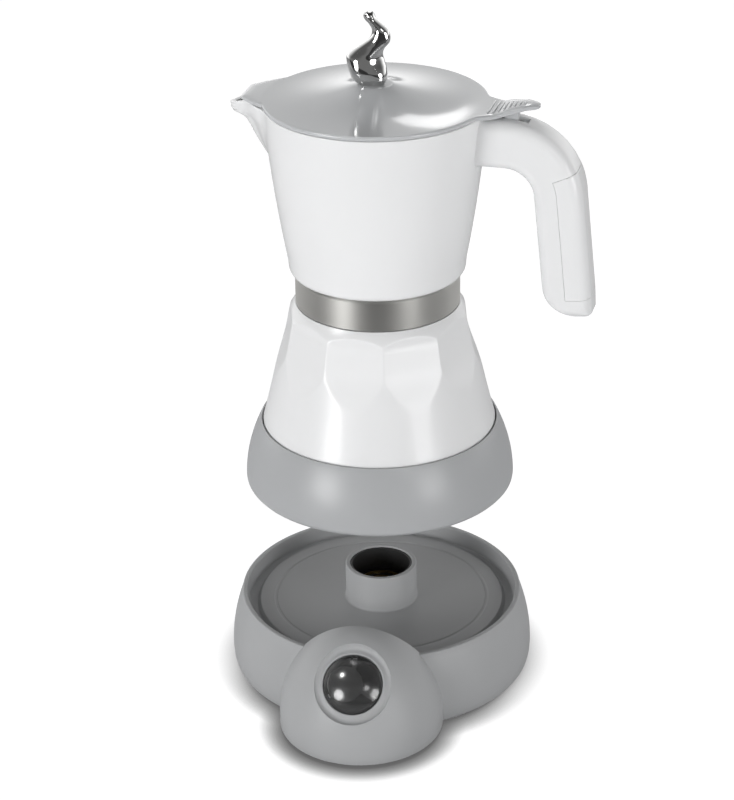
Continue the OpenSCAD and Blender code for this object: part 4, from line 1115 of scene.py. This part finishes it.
@dataclass
class Jug:
    """The white jug with its pouring spout.

    Attributes:
        low_z: Height of the lower edge.
        rim_z: Height of the rim.
        low_r: Radius above the lower edge's rounding.
        rim_r: Radius of the rim.
        edge: Rounding of the lower edge.
        bulge: Outward bow of the side.
        wall: Wall thickness.
        spigot: Radius of the hole in the floor.
        spout_drop: Drop of the tip below the rim.
        floor_z: Height of the floor's upper side.
        reach_table: Share of the spout's reach at each height.
        plan: Half of the spout's outline from above: (out from the axis, across) of its points.
        run_out: Reach of the soft run-out beside that outline.
        run_turn: Angle over which it runs out, in degrees.
    """

    low_z: float = 110.4
    rim_z: float = 193.3
    low_r: float = 42.0
    rim_r: float = 52.4
    edge: float = 4.0
    bulge: float = 1.1
    wall: float = 2.4
    spigot: float = 30.0
    spout_drop: float = 4.0
    floor_z: float = 113.0
    reach_table: tuple[Point, ...] = ((156.0, 0.0), (160.0, 0.06), (170.0, 0.36), (180.0, 0.60), (184.0, 0.72),
                                      (186.6, 0.93), (188.4, 1.0))
    plan: tuple[Point, ...] = ((49.9, 20.6), (60.3, 9.6), (68.6, 2.6), (70.6, 0.0))
    run_out: float = 1.6
    run_turn: float = 9.0

    def side(self, z: float) -> float:
        """Returns the outer radius at the height z."""
        t = (z - self.low_z - self.edge) / (self.rim_z - self.low_z - self.edge)
        return self.low_r + (self.rim_r - self.low_r) * t + 4 * self.bulge * t * (1 - t)

    def _rim_reach(self, off: float) -> float:
        """Works out how far the rim stands out beyond the round.

        Args:
            off: Angle from the spout's middle in degrees.

        Returns:
            The reach.
        """
        rows = sorted((math.degrees(math.atan2(y, x)), math.hypot(x, y)) for x, y in self.plan)
        beyond = abs(off) - rows[-1][0]
        if beyond >= 0:
            return self.run_out * max(0.0, 1 - beyond / self.run_turn) ** 2
        return smooth_table(rows, abs(off)) - self.rim_r

    def _shape(self, bm: Shape) -> None:
        """Pulls the spout out of the turned wall.

        Args:
            bm: The jug's shape.
        """
        for vert in bm.verts:
            z, r = vert.co.z / MM, vert.co.xy.length / MM
            if z < self.reach_table[0][0]:
                continue
            off = math.degrees(math.atan2(vert.co.y, -vert.co.x))
            share = smooth_table(self.reach_table, z)
            narrow = 0.22 + 0.78 * smoothstep(150, self.rim_z, z)
            inner = r < self.side(z) - 1.0
            reach = self._rim_reach(off / narrow * (1.12 if inner else 1.0)) * share
            if inner:
                reach = max(0.0, reach - 0.5 * min(reach, 1.6))
            drop = self.spout_drop * smoothstep(7.0, 18.0, reach / max(share, 0.05))
            drop *= smoothstep(178, self.rim_z, z)
            vert.co.xy = vert.co.xy * ((r + reach) / r)
            vert.co.z -= drop * MM

    def shell(self) -> Shape:
        """Makes the jug's wall with its spout.

        Returns:
            The shape, in metres.
        """
        top, low, inner_low = self.rim_z - 1.1, self.low_z + self.edge + 0.4, self.low_z + 6.5
        corners: list[Corner] = [(self.spigot, self.low_z, 0.2), (self.low_r, self.low_z, self.edge)]
        for k in range(1, 31):
            z = low + (top - low) * k / 30
            corners.append((self.side(z), z, 0))
        corners += [(self.rim_r - 0.02, self.rim_z, 0.8), (self.rim_r - self.wall, self.rim_z, 0.8)]
        for k in range(30, -1, -1):
            z = inner_low + (top - inner_low) * k / 30
            corners.append((self.side(z) - self.wall, z, 0))
        foot_r = self.side(self.low_z + 4) - self.wall - 0.3
        corners += [(foot_r, self.floor_z, 2.5), (self.spigot, self.floor_z, 0.2)]
        bm = turned(rounded(corners, 5, closed=True), 360, closed=True)
        self._shape(bm)
        bmesh.ops.recalc_face_normals(bm, faces=bm.faces[:])
        return bm

    def build(self, shop: Workshop) -> None:
        """Makes the jug."""
        shop.piece("jug_wall", self.shell(), Body.JUG, "jug_gloss", PLACE.pot(), ["jug_shell"], 50)


@dataclass
class Handle:
    """The white handle with its cover and seam.

    Attributes:
        thick: Thickness in the plane of the pot.
        wide: Width across that plane.
        corner: Rounding of the cross-section.
        bend_x: Distance of the bend's centre from the axis.
        bend_z: Height of that centre.
        bend_r: Radius of the bend on its middle line.
        lean: Outward lean of the grip in degrees.
        length: Length of the grip below the bend.
        seam: Angle at which the cover starts on the bend.
        cover_end: Length of the cover down the grip.
        tip_high: Height over which the lower end is rounded on its inner side.
        corner_r: Radius of that rounding on its outer side.
        tip_shift: Outward shift of the lowest place.
        gap: Half the width of the seam.
        inlay: Depth at which the handle lies under its cover.
        step: Run of the step beside the cover's ends.
        edge: Run of the rounded edge at the cover's ends.
        jug: The jug whose wall the root meets.
    """

    thick: float = 23.0
    wide: float = 21.0
    corner: float = 9.0
    bend_x: float = 62.5
    bend_z: float = 154.8
    bend_r: float = 25.4
    lean: float = 5.8
    length: float = 60.9
    seam: float = 24.0
    cover_end: float = 50.6
    tip_high: float = 15.0
    corner_r: float = 3.6
    tip_shift: float = 7.9
    gap: float = 0.05
    inlay: float = 1.3
    step: float = 0.12
    edge: float = 0.35
    jug: Jug = field(default_factory=Jug)

    @property
    def arc(self) -> float:
        """Returns the length of the bend on its middle line."""
        return math.radians(90 - self.lean) * self.bend_r

    def _half(self, inset: float, side: float) -> list[Point]:
        """Works out half of the cross-section, from one seam to the other.

        Args:
            inset: How far it is drawn in.
            side: 1 for the outer half, -1 for the inner one.

        Returns:
            Its points.
        """
        start, w, h = side * self.gap, side * (self.thick / 2 - inset), self.wide / 2 - inset
        fillet = self.corner - inset
        return rounded([(start, h, 0), (w, h, fillet), (w, -h, fillet), (start, -h, 0)], 9)

    def _ring(self, inset: float) -> list[Point]:
        """Returns the whole cross-section, its outer half drawn in by inset."""
        return self._half(inset, 1.0) + self._half(0.0, -1.0)[::-1]

    def _station(self, run: float) -> tuple[Vector, Vector]:
        """Finds a place on the middle line.

        Args:
            run: Millimetres from the start of the bend, negative towards the jug.

        Returns:
            The middle and the outward direction there.
        """
        centre = Vector((self.bend_x, 0, self.bend_z))
        if run <= 0:
            return centre + Vector((run, 0, self.bend_r)), Vector((0, 0, 1))
        a = math.pi / 2 - run / self.bend_r if run <= self.arc else math.radians(self.lean)
        out = Vector((math.cos(a), 0, math.sin(a)))
        if run <= self.arc:
            return centre + out * self.bend_r, out
        down = Vector((math.sin(a), 0, -math.cos(a)))
        return centre + out * self.bend_r + down * (run - self.arc), out

    def _place(
        self, outline: Sequence[Point], run: float, swell: float = 1.0, shift: float = 0.0,
        across: Optional[float] = None,
    ) -> list[Vector]:
        """Places an outline across the middle line.

        Args:
            outline: (outwards, across) points.
            run: Where on the middle line.
            swell: Scale of the outline.
            shift: Shift outwards.
            across: Scale across the pot's plane, the same as swell if not given.

        Returns:
            Its points, in metres.
        """
        middle, out = self._station(run)
        wide = swell if across is None else across
        return [(middle + out * (x * swell + shift) + Vector((0, y * wide, 0))) * MM for x, y in outline]

    def _drawn_in(self, left: float) -> float:
        """Returns how far the inner side is drawn in at a distance from the tip."""
        share = max(0.0, 1 - left / self.tip_high)
        return (self.thick / 2 + self.tip_shift) * (1 - math.sqrt(max(1 - share**2, 0.0)))

    def _thinned(self, outline: Sequence[Point], left: float, run: float) -> list[Vector]:
        """Returns an outline at a run with its inner side drawn in for the distance left to the tip."""
        kept = 1 - self._drawn_in(left) / (self.thick / 2)
        return self._place([(x * kept if x < 0 else x, y) for x, y in outline], run)

    def _tail(self, outline: Sequence[Point], share: float) -> list[Vector]:
        """Places an outline in the rounded lower end.

        Args:
            outline: (outwards, across) points.
            share: Place between the cover's end (0) and the tip (1).

        Returns:
            Its points, in metres.
        """
        depth = self.cover_end + (self.length - self.cover_end) * share
        left = self.length - depth
        outer = math.sqrt(max(self.corner_r**2 - max(self.corner_r - left, 0.0) ** 2, 0.0))
        low = self._drawn_in(left) - self.thick / 2
        high = min(self.thick / 2 - 0.032 * (depth - self.cover_end), self.tip_shift + outer)
        run, across = self.arc + depth, (1 - share**3) ** (1 / 3)
        return self._place(outline, run, (high - low) / self.thick, (high + low) / 2, across)

    def grip(self) -> Shape:
        """Makes the handle itself.

        Returns:
            The shape, in metres.
        """
        seam_run = math.radians(90 - self.seam) * self.bend_r
        full, stepped = self._ring(0.0), self._ring(self.inlay)
        rings: list[list[Vector]] = []
        for depth, grow in ((-1.1, 1.03), (0.15, 1.045), (0.8, 1.02), (1.8, 1.006), (3.2, 1.0)):
            ring = []
            for p in self._place(full, 0.0):
                y, z = p.y / MM * grow, (p.z / MM - self.bend_z - self.bend_r) * grow + self.bend_z + self.bend_r
                surface = math.sqrt(max(self.jug.side(min(z, self.jug.rim_z)) ** 2 - y * y, 1.0))
                ring.append(Vector((surface + depth, y, z)) * MM)
            rings.append(ring)
        start = seam_run + self.step
        rings += [self._place(full, run) for run in (-5.0, -2.5, 0.0)]
        rings += [self._place(full, seam_run * k / 7) for k in range(1, 8)]
        rings += [self._place(stepped, start + (self.arc - seam_run - self.step) * k / 26) for k in range(27)]
        for k in range(1, 17):
            depth = self.cover_end * k / 16
            rings.append(self._thinned(stepped, self.length - depth, self.arc + depth))
        end = self.arc + self.cover_end + self.step
        rings.append(self._thinned(full, self.length - self.cover_end - self.step, end))
        rings += [self._tail(full, math.sin(math.pi / 2 * k / 17.6)) for k in range(1, 18)]
        slot = block((9.2, 6.0, 14.8), (64.9, 0, 191.7), 0.4)
        swing = block((12.4, 6.0, 10.0), (66.5, 0, 194.1), 0.4)
        return carved(swept(rings), [slot, swing, pin_bore(1.27, 24, -7.65)])

    def cover(self) -> Shape:
        """Makes the cover of the outer half.

        Returns:
            The shape, in metres.
        """
        start = math.radians(90 - self.seam) * self.bend_r + 0.2
        end = self.arc + self.cover_end - 0.02
        outline = [(x + 0.06, y) for x, y in self._half(0.0, 1.0) + self._half(self.inlay - 0.15, 1.0)[::-1]]
        bend, grip = self.arc - start - self.edge, end - self.edge - self.arc
        rings = [self._place(outline, start, 0.994)]
        rings += [self._place(outline, start + self.edge + bend * k / 26) for k in range(27)]
        rings += [self._place(outline, self.arc + grip * k / 8) for k in range(1, 9)]
        return swept(rings + [self._place(outline, end, 0.994)])

    def build(self, shop: Workshop) -> None:
        """Makes the handle and its cover."""
        shop.piece("handle_grip", self.grip(), Body.JUG, "handle_gloss", PLACE.pot(), ["handle"], 42)
        shop.piece("handle_back", self.cover(), Body.JUG, "handle_gloss", PLACE.pot(), ["handle_cover"], 42)


@dataclass
class Lid:
    """The grey lid with its flap over the spout and its thumb tab.

    Attributes:
        under: Height of its underside.
        edge_h: Thickness at the edge.
        radius: Radius of the round part.
        boss: Radius of the raised middle.
        rise: Rise from the edge to the middle.
        curve: How quickly the rise falls away.
        wall: Thickness.
        knee: Distance at which the tab starts to slope up.
        slope: Slope of the tab in degrees.
        steps: Steps of a turn.
        inner: Radius from which the edge is drawn out to the flap and the tab.
        crown: Height of the tab's crowned upper side.
        lug_r: Radius of the hinge lug.
        flap: Half of the flap's outline from above: (out from the axis, across) of its points.
        tab: Half of the tab's outline from above.
    """

    under: float = 193.6
    edge_h: float = 2.0
    radius: float = 52.6
    boss: float = 8.0
    rise: float = 7.2
    curve: float = 2.2
    wall: float = 2.0
    knee: float = 58.5
    slope: float = 13.0
    steps: int = 720
    inner: float = 50.6
    crown: float = 0.5
    lug_r: float = 3.2
    flap: tuple[Point, ...] = ((62.7, 0.0), (62.7, 7.6), (62.0, 9.3), (49.2, 19.6), (47.6, 22.3))
    tab: tuple[Point, ...] = ((77.6, 0.0), (77.2, 2.0), (76.0, 3.5), (73.4, 4.8), (66.0, 8.2), (59.0, 11.4),
                              (54.4, 13.4), (51.0, 15.3), (49.5, 18.0))

    def _top(self, r: float) -> float:
        """Returns the height of the upper side at a radius."""
        t = min(max((r - self.boss) / (self.radius - self.boss), 0.0), 1.0)
        return self.under + self.edge_h + self.rise * (1 - t) ** self.curve

    def _edge(self, angle: float) -> float:
        """Works out the distance of the lid's edge from the axis.

        Args:
            angle: Direction in degrees from the tab.

        Returns:
            The distance.
        """
        off = abs((angle + 180) % 360 - 180)
        for rows, turn in ((self.tab, off), (self.flap, 180 - off)):
            table = sorted((math.degrees(math.atan2(y, x)), math.hypot(x, y)) for x, y in rows)
            if turn < table[-1][0]:
                return max(self.radius, blend_table(table, turn))
        return self.radius

    def _tab_rise(self, x: float) -> float:
        """Returns how far the tab's upper side stands above the lid's edge at a distance from the axis."""
        climb = smoothstep(self.knee - 3.5, self.knee + 3.5, x) * max(0.0, x - self.knee + 0.6)
        return climb * math.tan(math.radians(self.slope)) - 1.1 * smoothstep(70.5, 77.6, x)

    def _crown_rise(self, x: float) -> float:
        """Returns how far the tab's upper side is crowned at a distance from the axis."""
        return self.crown * smoothstep(self.knee, self.knee + 6, x)

    def _profile(self) -> list[Point]:
        """Works out the round lid's profile, from the middle of its top to the middle of its underside.

        Returns:
            Its points.
        """
        inner, edge, flat = self.inner, self.radius, self.radius - 0.8
        high, low = self.under + self.edge_h, self.under
        profile: list[Point] = [(self.boss * k / 5 * 0.94, self._top(0)) for k in range(6)]
        radii = [self.boss + (inner - self.boss) * (k / 33) ** 1.1 for k in range(34)]
        radii += [inner + (flat - inner) * k / 14 for k in range(1, 15)]
        profile += [(r, self._top(r)) for r in radii]
        profile += [
            (edge - 0.5, high - 0.07), (edge - 0.22, high - 0.25), (edge - 0.06, high - 0.5), (edge, high - 0.85),
            (edge, low + 0.4), (edge - 0.12, low + 0.1), (edge - 0.35, low),
        ]
        profile += [(inner + (edge - 0.35 - inner) * k / 14, low) for k in range(13, -1, -1)]
        profile += [
            (49.3, low), (49.2, low - 2.7), (48.9, low - 3.0), (47.9, low - 3.0), (47.6, low - 2.7),
            (47.6, low + 0.3),
        ]
        for k in range(20, 0, -1):
            r = 46.5 * k / 20
            profile.append((r, min(self._top(r), self._top(self.boss)) - self.wall))
        return profile + [(0.0, self._top(0) - self.wall)]

    def plate(self) -> Shape:
        """Makes the lid's plate with its flap, tab and lip.

        Returns:
            The shape, in metres.
        """
        bm = turned(self._profile(), self.steps, closed=False)
        inner, beyond = self.inner, self.radius + 0.4
        for vert in bm.verts:
            r = vert.co.xy.length / MM
            if r <= inner:
                continue
            angle = math.degrees(math.atan2(vert.co.y, vert.co.x))
            share = (r - inner) / (self.radius - inner)
            far = inner + (self._edge(angle) - inner) * share
            vert.co.xy = vert.co.xy * (far / r)
            if vert.co.x > 0 and far > beyond:
                x = vert.co.x / MM
                side = 1.0 if vert.co.z / MM > self.under + 1 else -0.25
                vert.co.z += (self._tab_rise(x) + side * self._crown_rise(x)) * MM
            elif vert.co.x < 0 and far > beyond:
                vert.co.z -= 0.045 * (far - beyond) * MM
        bmesh.ops.recalc_face_normals(bm, faces=bm.faces[:])
        return bm

    def ribs(self) -> Shape:
        """Makes the fine grip ribs on the tab's upper side.

        Returns:
            The shape, in metres.
        """
        whole = bmesh.new()
        for k in range(8):
            x = 54.9 + 2.25 * k
            width = 2 * (8.6 - 0.62 * (x - 60.0)) * 0.72
            z = self.under + self.edge_h + self._tab_rise(x) + self._crown_rise(x) + 0.05
            tilt = Matrix.Rotation(-math.radians(self.slope) if x > self.knee else 0.0, 4, "Y")
            rib = block((1.0, width, 0.8), (0, 0, 0), 0.35)
            mesh = meshed("rib", moved(rib, Matrix.Translation(Vector((x, 0, z)) * MM) @ tilt))
            whole.from_mesh(mesh)
            bpy.data.meshes.remove(mesh)
        return whole

    def lug(self) -> Shape:
        """Makes the lug under the lid that turns on the hinge pin.

        Returns:
            The shape, in metres.
        """
        r = self.lug_r
        turns = [math.pi + math.pi * k / 16 for k in range(1, 16)]
        corners: list[Corner] = [(-r, 7.0, 0.3), (-r, 0.0, 0.0)]
        corners += [(r * math.cos(a), r * math.sin(a), 0.0) for a in turns] + [(r, 0.0, 0.0), (r, 7.0, 0.3)]
        outline = rounded(corners, 3, closed=True)
        rings = [
            [Vector((PLACE.pin_x + x * s, y, PLACE.pin_z + (z if z > 6 else z * s))) * MM for x, z in outline]
            for y, s in ((-2.7, 0.93), (-2.45, 1.0), (2.45, 1.0), (2.7, 0.93))
        ]
        return carved(swept(rings), [pin_bore(1.3, 30, -15)])

    def build(self, shop: Workshop) -> None:
        """Makes the plate, its ribs and its lug.

        Args:
            shop: The workshop that makes the pieces.
        """
        shop.piece("lid_plate", self.plate(), Body.LID, "lid_gloss", PLACE.pot(), ["lid"], 40)
        shop.piece("lid_ribs", self.ribs(), Body.LID, "lid_gloss", PLACE.pot())
        shop.piece("lid_lug", self.lug(), Body.LID, "lid_gloss", PLACE.pot())


@dataclass
class Knob:
    """The curled chrome knob, like a wisp of steam.

    Each row of the tables is a height and a value there. The knob keeps its own direction,
    so it is placed without the pot's turn.

    Attributes:
        foot: Height at which it stands on the lid.
        height: Height of the knob.
        shift: Sideways place of the middle line.
        half: Half width across the view.
        deep: Half depth along the view.
        twist: Turn of the ridge in degrees.
        rings: Number of rings.
        sides: Points on each ring.
    """

    foot: float = 202.8
    height: float = 34.4
    rings: int = 90
    sides: int = 40
    shift: tuple[Point, ...] = (
        (0, -2.0), (1.2, -2.6), (2.4, -3.0), (4.5, -3.4), (7.5, -4.0), (10.5, -4.6), (13, -4.7), (15.3, -3.3),
        (18.2, -0.4), (20.6, 1.7), (23, 2.6), (25.8, 2.4), (28.2, 0.6), (30.6, -1.7), (33, -2.4), (34.4, -1.7),
    )
    half: tuple[Point, ...] = (
        (0, 6.2), (1.2, 7.6), (3.3, 8.9), (6.7, 9.3), (10.5, 9.0), (13, 8.3), (15.3, 7.5), (18.2, 6.4),
        (20.6, 5.4), (23, 4.7), (25.8, 4.0), (28.2, 3.3), (30.6, 3.0), (32.6, 2.7), (33.8, 2.0), (34.4, 0.6),
    )
    deep: tuple[Point, ...] = (
        (0, 5.0), (3.3, 6.0), (6.7, 6.1), (10.5, 5.6), (15.3, 4.5), (20.6, 3.9), (25.8, 3.1), (30.6, 2.5),
        (33, 2.1), (34.4, 0.5),
    )
    twist: tuple[Point, ...] = ((0, -20), (8, 10), (16, 60), (24, 120), (34.4, 190))

    def build(self, shop: Workshop) -> None:
        """Makes the knob.

        Args:
            shop: The workshop that makes the pieces.
        """
        rings: list[list[Vector]] = []
        for i in range(self.rings):
            z = self.height * (i / (self.rings - 1))
            cx, w, d = (smooth_table(t, z) for t in (self.shift, self.half, self.deep))
            turn = math.radians(smooth_table(self.twist, z))
            spots: list[Point] = []
            for k in range(self.sides):
                a = 2 * math.pi * k / self.sides
                ridge = 1 + 0.10 * math.cos(2 * (a - turn)) + 0.05 * math.cos(3 * (a - turn))
                spots.append((ridge * math.cos(a), ridge * math.sin(a)))
            wide, far = max(abs(x) for x, _ in spots), max(abs(y) for _, y in spots)
            rings.append([Vector((cx + w * x / wide, d * y / far, self.foot + z)) * MM for x, y in spots])
        at = Matrix.Translation((0, 0, PLACE.pot_height * MM))
        shop.piece("knob_wisp", swept(rings), Body.LID, "knob_mirror", at, ["lid_knob"], 60)


# The studio


@dataclass
class Studio:
    """Camera, lights, floor and backdrop.

    Attributes:
        distance: Distance of the camera from its target, in metres.
        target: Height of the target above the table, in metres.
        elevation: Elevation of the camera in degrees.
        azimuth: Direction of the camera in degrees, 0 looking along +Y.
        roll: Roll of the camera in degrees.
        focal: Focal length for the 36 mm long side.
        axis_shift: How far the object's axis stands right of the middle, in pixels of 800.
    """

    distance: float = 1.2
    target: float = 0.1443
    elevation: float = 26.3
    azimuth: float = 9.0
    roll: float = -0.69
    focal: float = 110.25
    axis_shift: float = 12.1

    def camera(self) -> None:
        """Sets up the camera at the photograph's angle."""
        data = bpy.data.cameras.new("photo_camera")
        data.sensor_fit, data.sensor_width, data.lens = "AUTO", 36.0, self.focal
        data.shift_x = -self.axis_shift / 800
        data.clip_start, data.clip_end = 0.05, 60
        thing = linked("photo_camera", data)
        a, e = math.radians(self.azimuth), math.radians(self.elevation)
        back = Vector((math.sin(a) * math.cos(e), -math.cos(a) * math.cos(e), math.sin(e)))
        thing.location = Vector((0, 0, self.target)) + back * self.distance
        thing.rotation_mode = "QUATERNION"
        look = (-back).to_track_quat("-Z", "Y")
        spin = Matrix.Rotation(math.radians(self.roll), 4, "Z").to_quaternion()
        thing.rotation_quaternion = look @ spin
        bpy.context.scene.camera = thing

    @staticmethod
    def _lamp(
        name: str, place: Sequence[float], aim: Sequence[float], size: Point, power: float, matt: bool = True
    ) -> None:
        """Hangs one soft box, a round one where its width and height are equal.

        Args:
            name: The lamp's name.
            place: Where it hangs, in metres.
            aim: What it points at.
            size: Width and height in metres.
            power: Power in watts.
            matt: Whether it lights matt surfaces too, or is only seen in shining ones.
        """
        data = bpy.data.lights.new(name, "AREA")
        data.shape = "ELLIPSE" if size[0] == size[1] else "RECTANGLE"
        data.size, data.size_y, data.energy = size[0], size[1], power
        thing = linked(name, data)
        thing.visible_camera = False
        thing.visible_diffuse = matt
        thing.location = place
        thing.rotation_mode = "QUATERNION"
        thing.rotation_quaternion = (Vector(aim) - Vector(place)).to_track_quat("-Z", "Y")

    def lights(self) -> None:
        """Hangs the soft boxes: two low ones in front, small round ones and one behind for the lid."""
        self._lamp("key_left", (-0.85, -1.15, 0.29), (0, 0, 0.17), (0.58, 0.58), 8.8)
        self._lamp("fill_right", (1.05, -0.80, 0.29), (0, 0, 0.17), (0.54, 0.54), 4.5)
        self._lamp("round_left", (-0.82, -0.53, 1.23), (0, -0.07, 0.05), (0.26, 0.26), 4.9, False)
        self._lamp("round_right", (0.76, -1.10, 0.85), (0, -0.07, 0.05), (0.30, 0.30), 1.3, False)
        self._lamp("round_top", (-0.08, 0.12, 0.80), (0, 0, 0.3), (0.25, 0.25), 0.62)
        self._lamp("lid_box", (-0.10, 1.31, 1.01), (0, 0, 0.3), (0.08, 0.38), 0.40)

    @staticmethod
    def world() -> None:
        """Sets a backdrop that is white to the camera, plain to matt and shaded to polished surfaces."""
        world = bpy.data.worlds.new("studio")
        bpy.context.scene.world = world
        world.use_nodes = True
        world.node_tree.nodes.clear()
        rows = {
            **bare("OutputWorld", "LightPath", "TexCoord", "SeparateXYZ"),
            "light": ("Background", {}, {"Color": (1, 1, 1, 1)}),
            "behind": ramp(-0.35, 0.45, 0.12, 1.0), "horizon": ramp(0.10, 0.40, 1.7, 1.0),
            "overhead": ramp(0.45, 0.80, 1.0, 0.30), "height": ramp(0.0, 0.70, 0.68, 0.16),
            "left": ramp(-0.20, -0.95, 1.0, 2.3), "right": ramp(0.25, 0.95, 0.0, 0.8), "beside": calc("ADD"),
            "level": calc("MULTIPLY"), "polished": calc("MULTIPLY"), "soft": calc("MULTIPLY"),
            "gain": calc("SUBTRACT"), "lift": calc("MULTIPLY"), "strength": calc("ADD"),
            "direct": calc("MAXIMUM"), "short": calc("SUBTRACT", {0: 1.0}), "rest": calc("MULTIPLY"),
            "whole": calc("ADD"),
        }
        wired(world.node_tree, rows, """TexCoord/Generated > SeparateXYZ/0, SeparateXYZ/Y > behind/Value,
            SeparateXYZ/Z > horizon/Value, SeparateXYZ/Z > overhead/Value, SeparateXYZ/Z > height/Value,
            SeparateXYZ/X > left/Value, SeparateXYZ/X > right/Value, left/Result > beside/0,
            right/Result > beside/1, horizon/Result > level/0, overhead/Result > level/1,
            behind/Result > polished/0, level/0 > polished/1, beside/0 > soft/0, height/Result > soft/1,
            polished/0 > gain/0, soft/0 > gain/1, gain/0 > lift/0, LightPath/Is Glossy Ray > lift/1,
            lift/0 > strength/0, soft/0 > strength/1, LightPath/Is Camera Ray > direct/0,
            LightPath/Is Transmission Ray > direct/1, strength/0 > short/1, short/0 > rest/0, direct/0 > rest/1,
            strength/0 > whole/0, rest/0 > whole/1, whole/0 > light/Strength, light/0 > OutputWorld/Surface""")

    @staticmethod
    def floor() -> None:
        """Lays the pale floor: white to the camera, with a painted contact shadow round the object's foot, and a
        painted dark reflection, as polished surfaces see it dark in front of the object.
        """
        bm = bmesh.new()
        bmesh.ops.create_grid(bm, x_segments=1, y_segments=1, size=6.0)
        mesh = meshed("floor", bm)
        thing = linked("floor", mesh)
        material = bpy.data.materials.new("floor_paper")
        material.use_nodes = True
        material.node_tree.nodes.clear()
        rows = {
            **bare("OutputMaterial", "LightPath", "TexCoord", "SeparateXYZ"),
            "paper": ("BsdfDiffuse", {}, {"Color": (0.80, 0.80, 0.81, 1)}),
            "glow": ("Emission", {}, {"Strength": 1.33}), "share": calc("MULTIPLY", {1: 0.7}),
            # Painted dark reflection: to glossy rays the floor turns dark in front of the object, while the camera
            # sees it white there.
            "lit": ("MixShader", {}, {}), "fall": ramp(-0.22, -0.50, 0.0, 0.88), "fade": calc("MULTIPLY"),
            "dim": ("BsdfDiffuse", {}, {"Color": (0.03, 0.03, 0.03, 1)}), "cut": ("MixShader", {}, {}),
            # Painted contact shadow: ambient occlusion pulls the floor towards a dark emission near the object, more
            # strongly in front of it than at its sides.
            "nook": ("AmbientOcclusion", {"samples": 16}, {"Distance": 0.012}), "deepen": calc("POWER"),
            "near": ramp(-0.020, -0.100, 1.0, 4.5), "dusk": ("Emission", {}, {"Strength": 0.13}),
            "shade": ("MixShader", {}, {}),
        }
        wired(material.node_tree, rows, """LightPath/Is Camera Ray > share/0, share/0 > lit/0, paper/0 > lit/1,
            glow/0 > lit/2, TexCoord/Object > SeparateXYZ/0, SeparateXYZ/Y > fall/Value, fall/Result > fade/0,
            LightPath/Is Glossy Ray > fade/1, fade/0 > cut/0, lit/0 > cut/1, dim/0 > cut/2,
            SeparateXYZ/Y > near/Value, near/Result > deepen/1, nook/AO > deepen/0, deepen/0 > shade/0,
            dusk/0 > shade/1, cut/0 > shade/2, shade/0 > OutputMaterial/Surface""")
        mesh.materials.append(material)

    def build(self) -> None:
        """Sets up the whole studio."""
        self.camera()
        self.lights()
        self.world()
        self.floor()
        bpy.context.scene.view_settings.view_transform = "Standard"


def main() -> None:
    """Builds the sub-assemblies in order and dresses them."""
    logging.basicConfig(level=logging.INFO)
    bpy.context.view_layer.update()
    Studio().build()
    shop = Workshop()
    shop.dress_nodes()
    jug = Jug()
    for part in (PowerBase(), PowerButton(), Skirt(), Boiler(), Collar(), jug, Handle(jug=jug), Lid(), Knob()):
        part.build(shop)
        LOG.info("built %s", type(part).__name__)


if __name__ == "__main__":
    main()
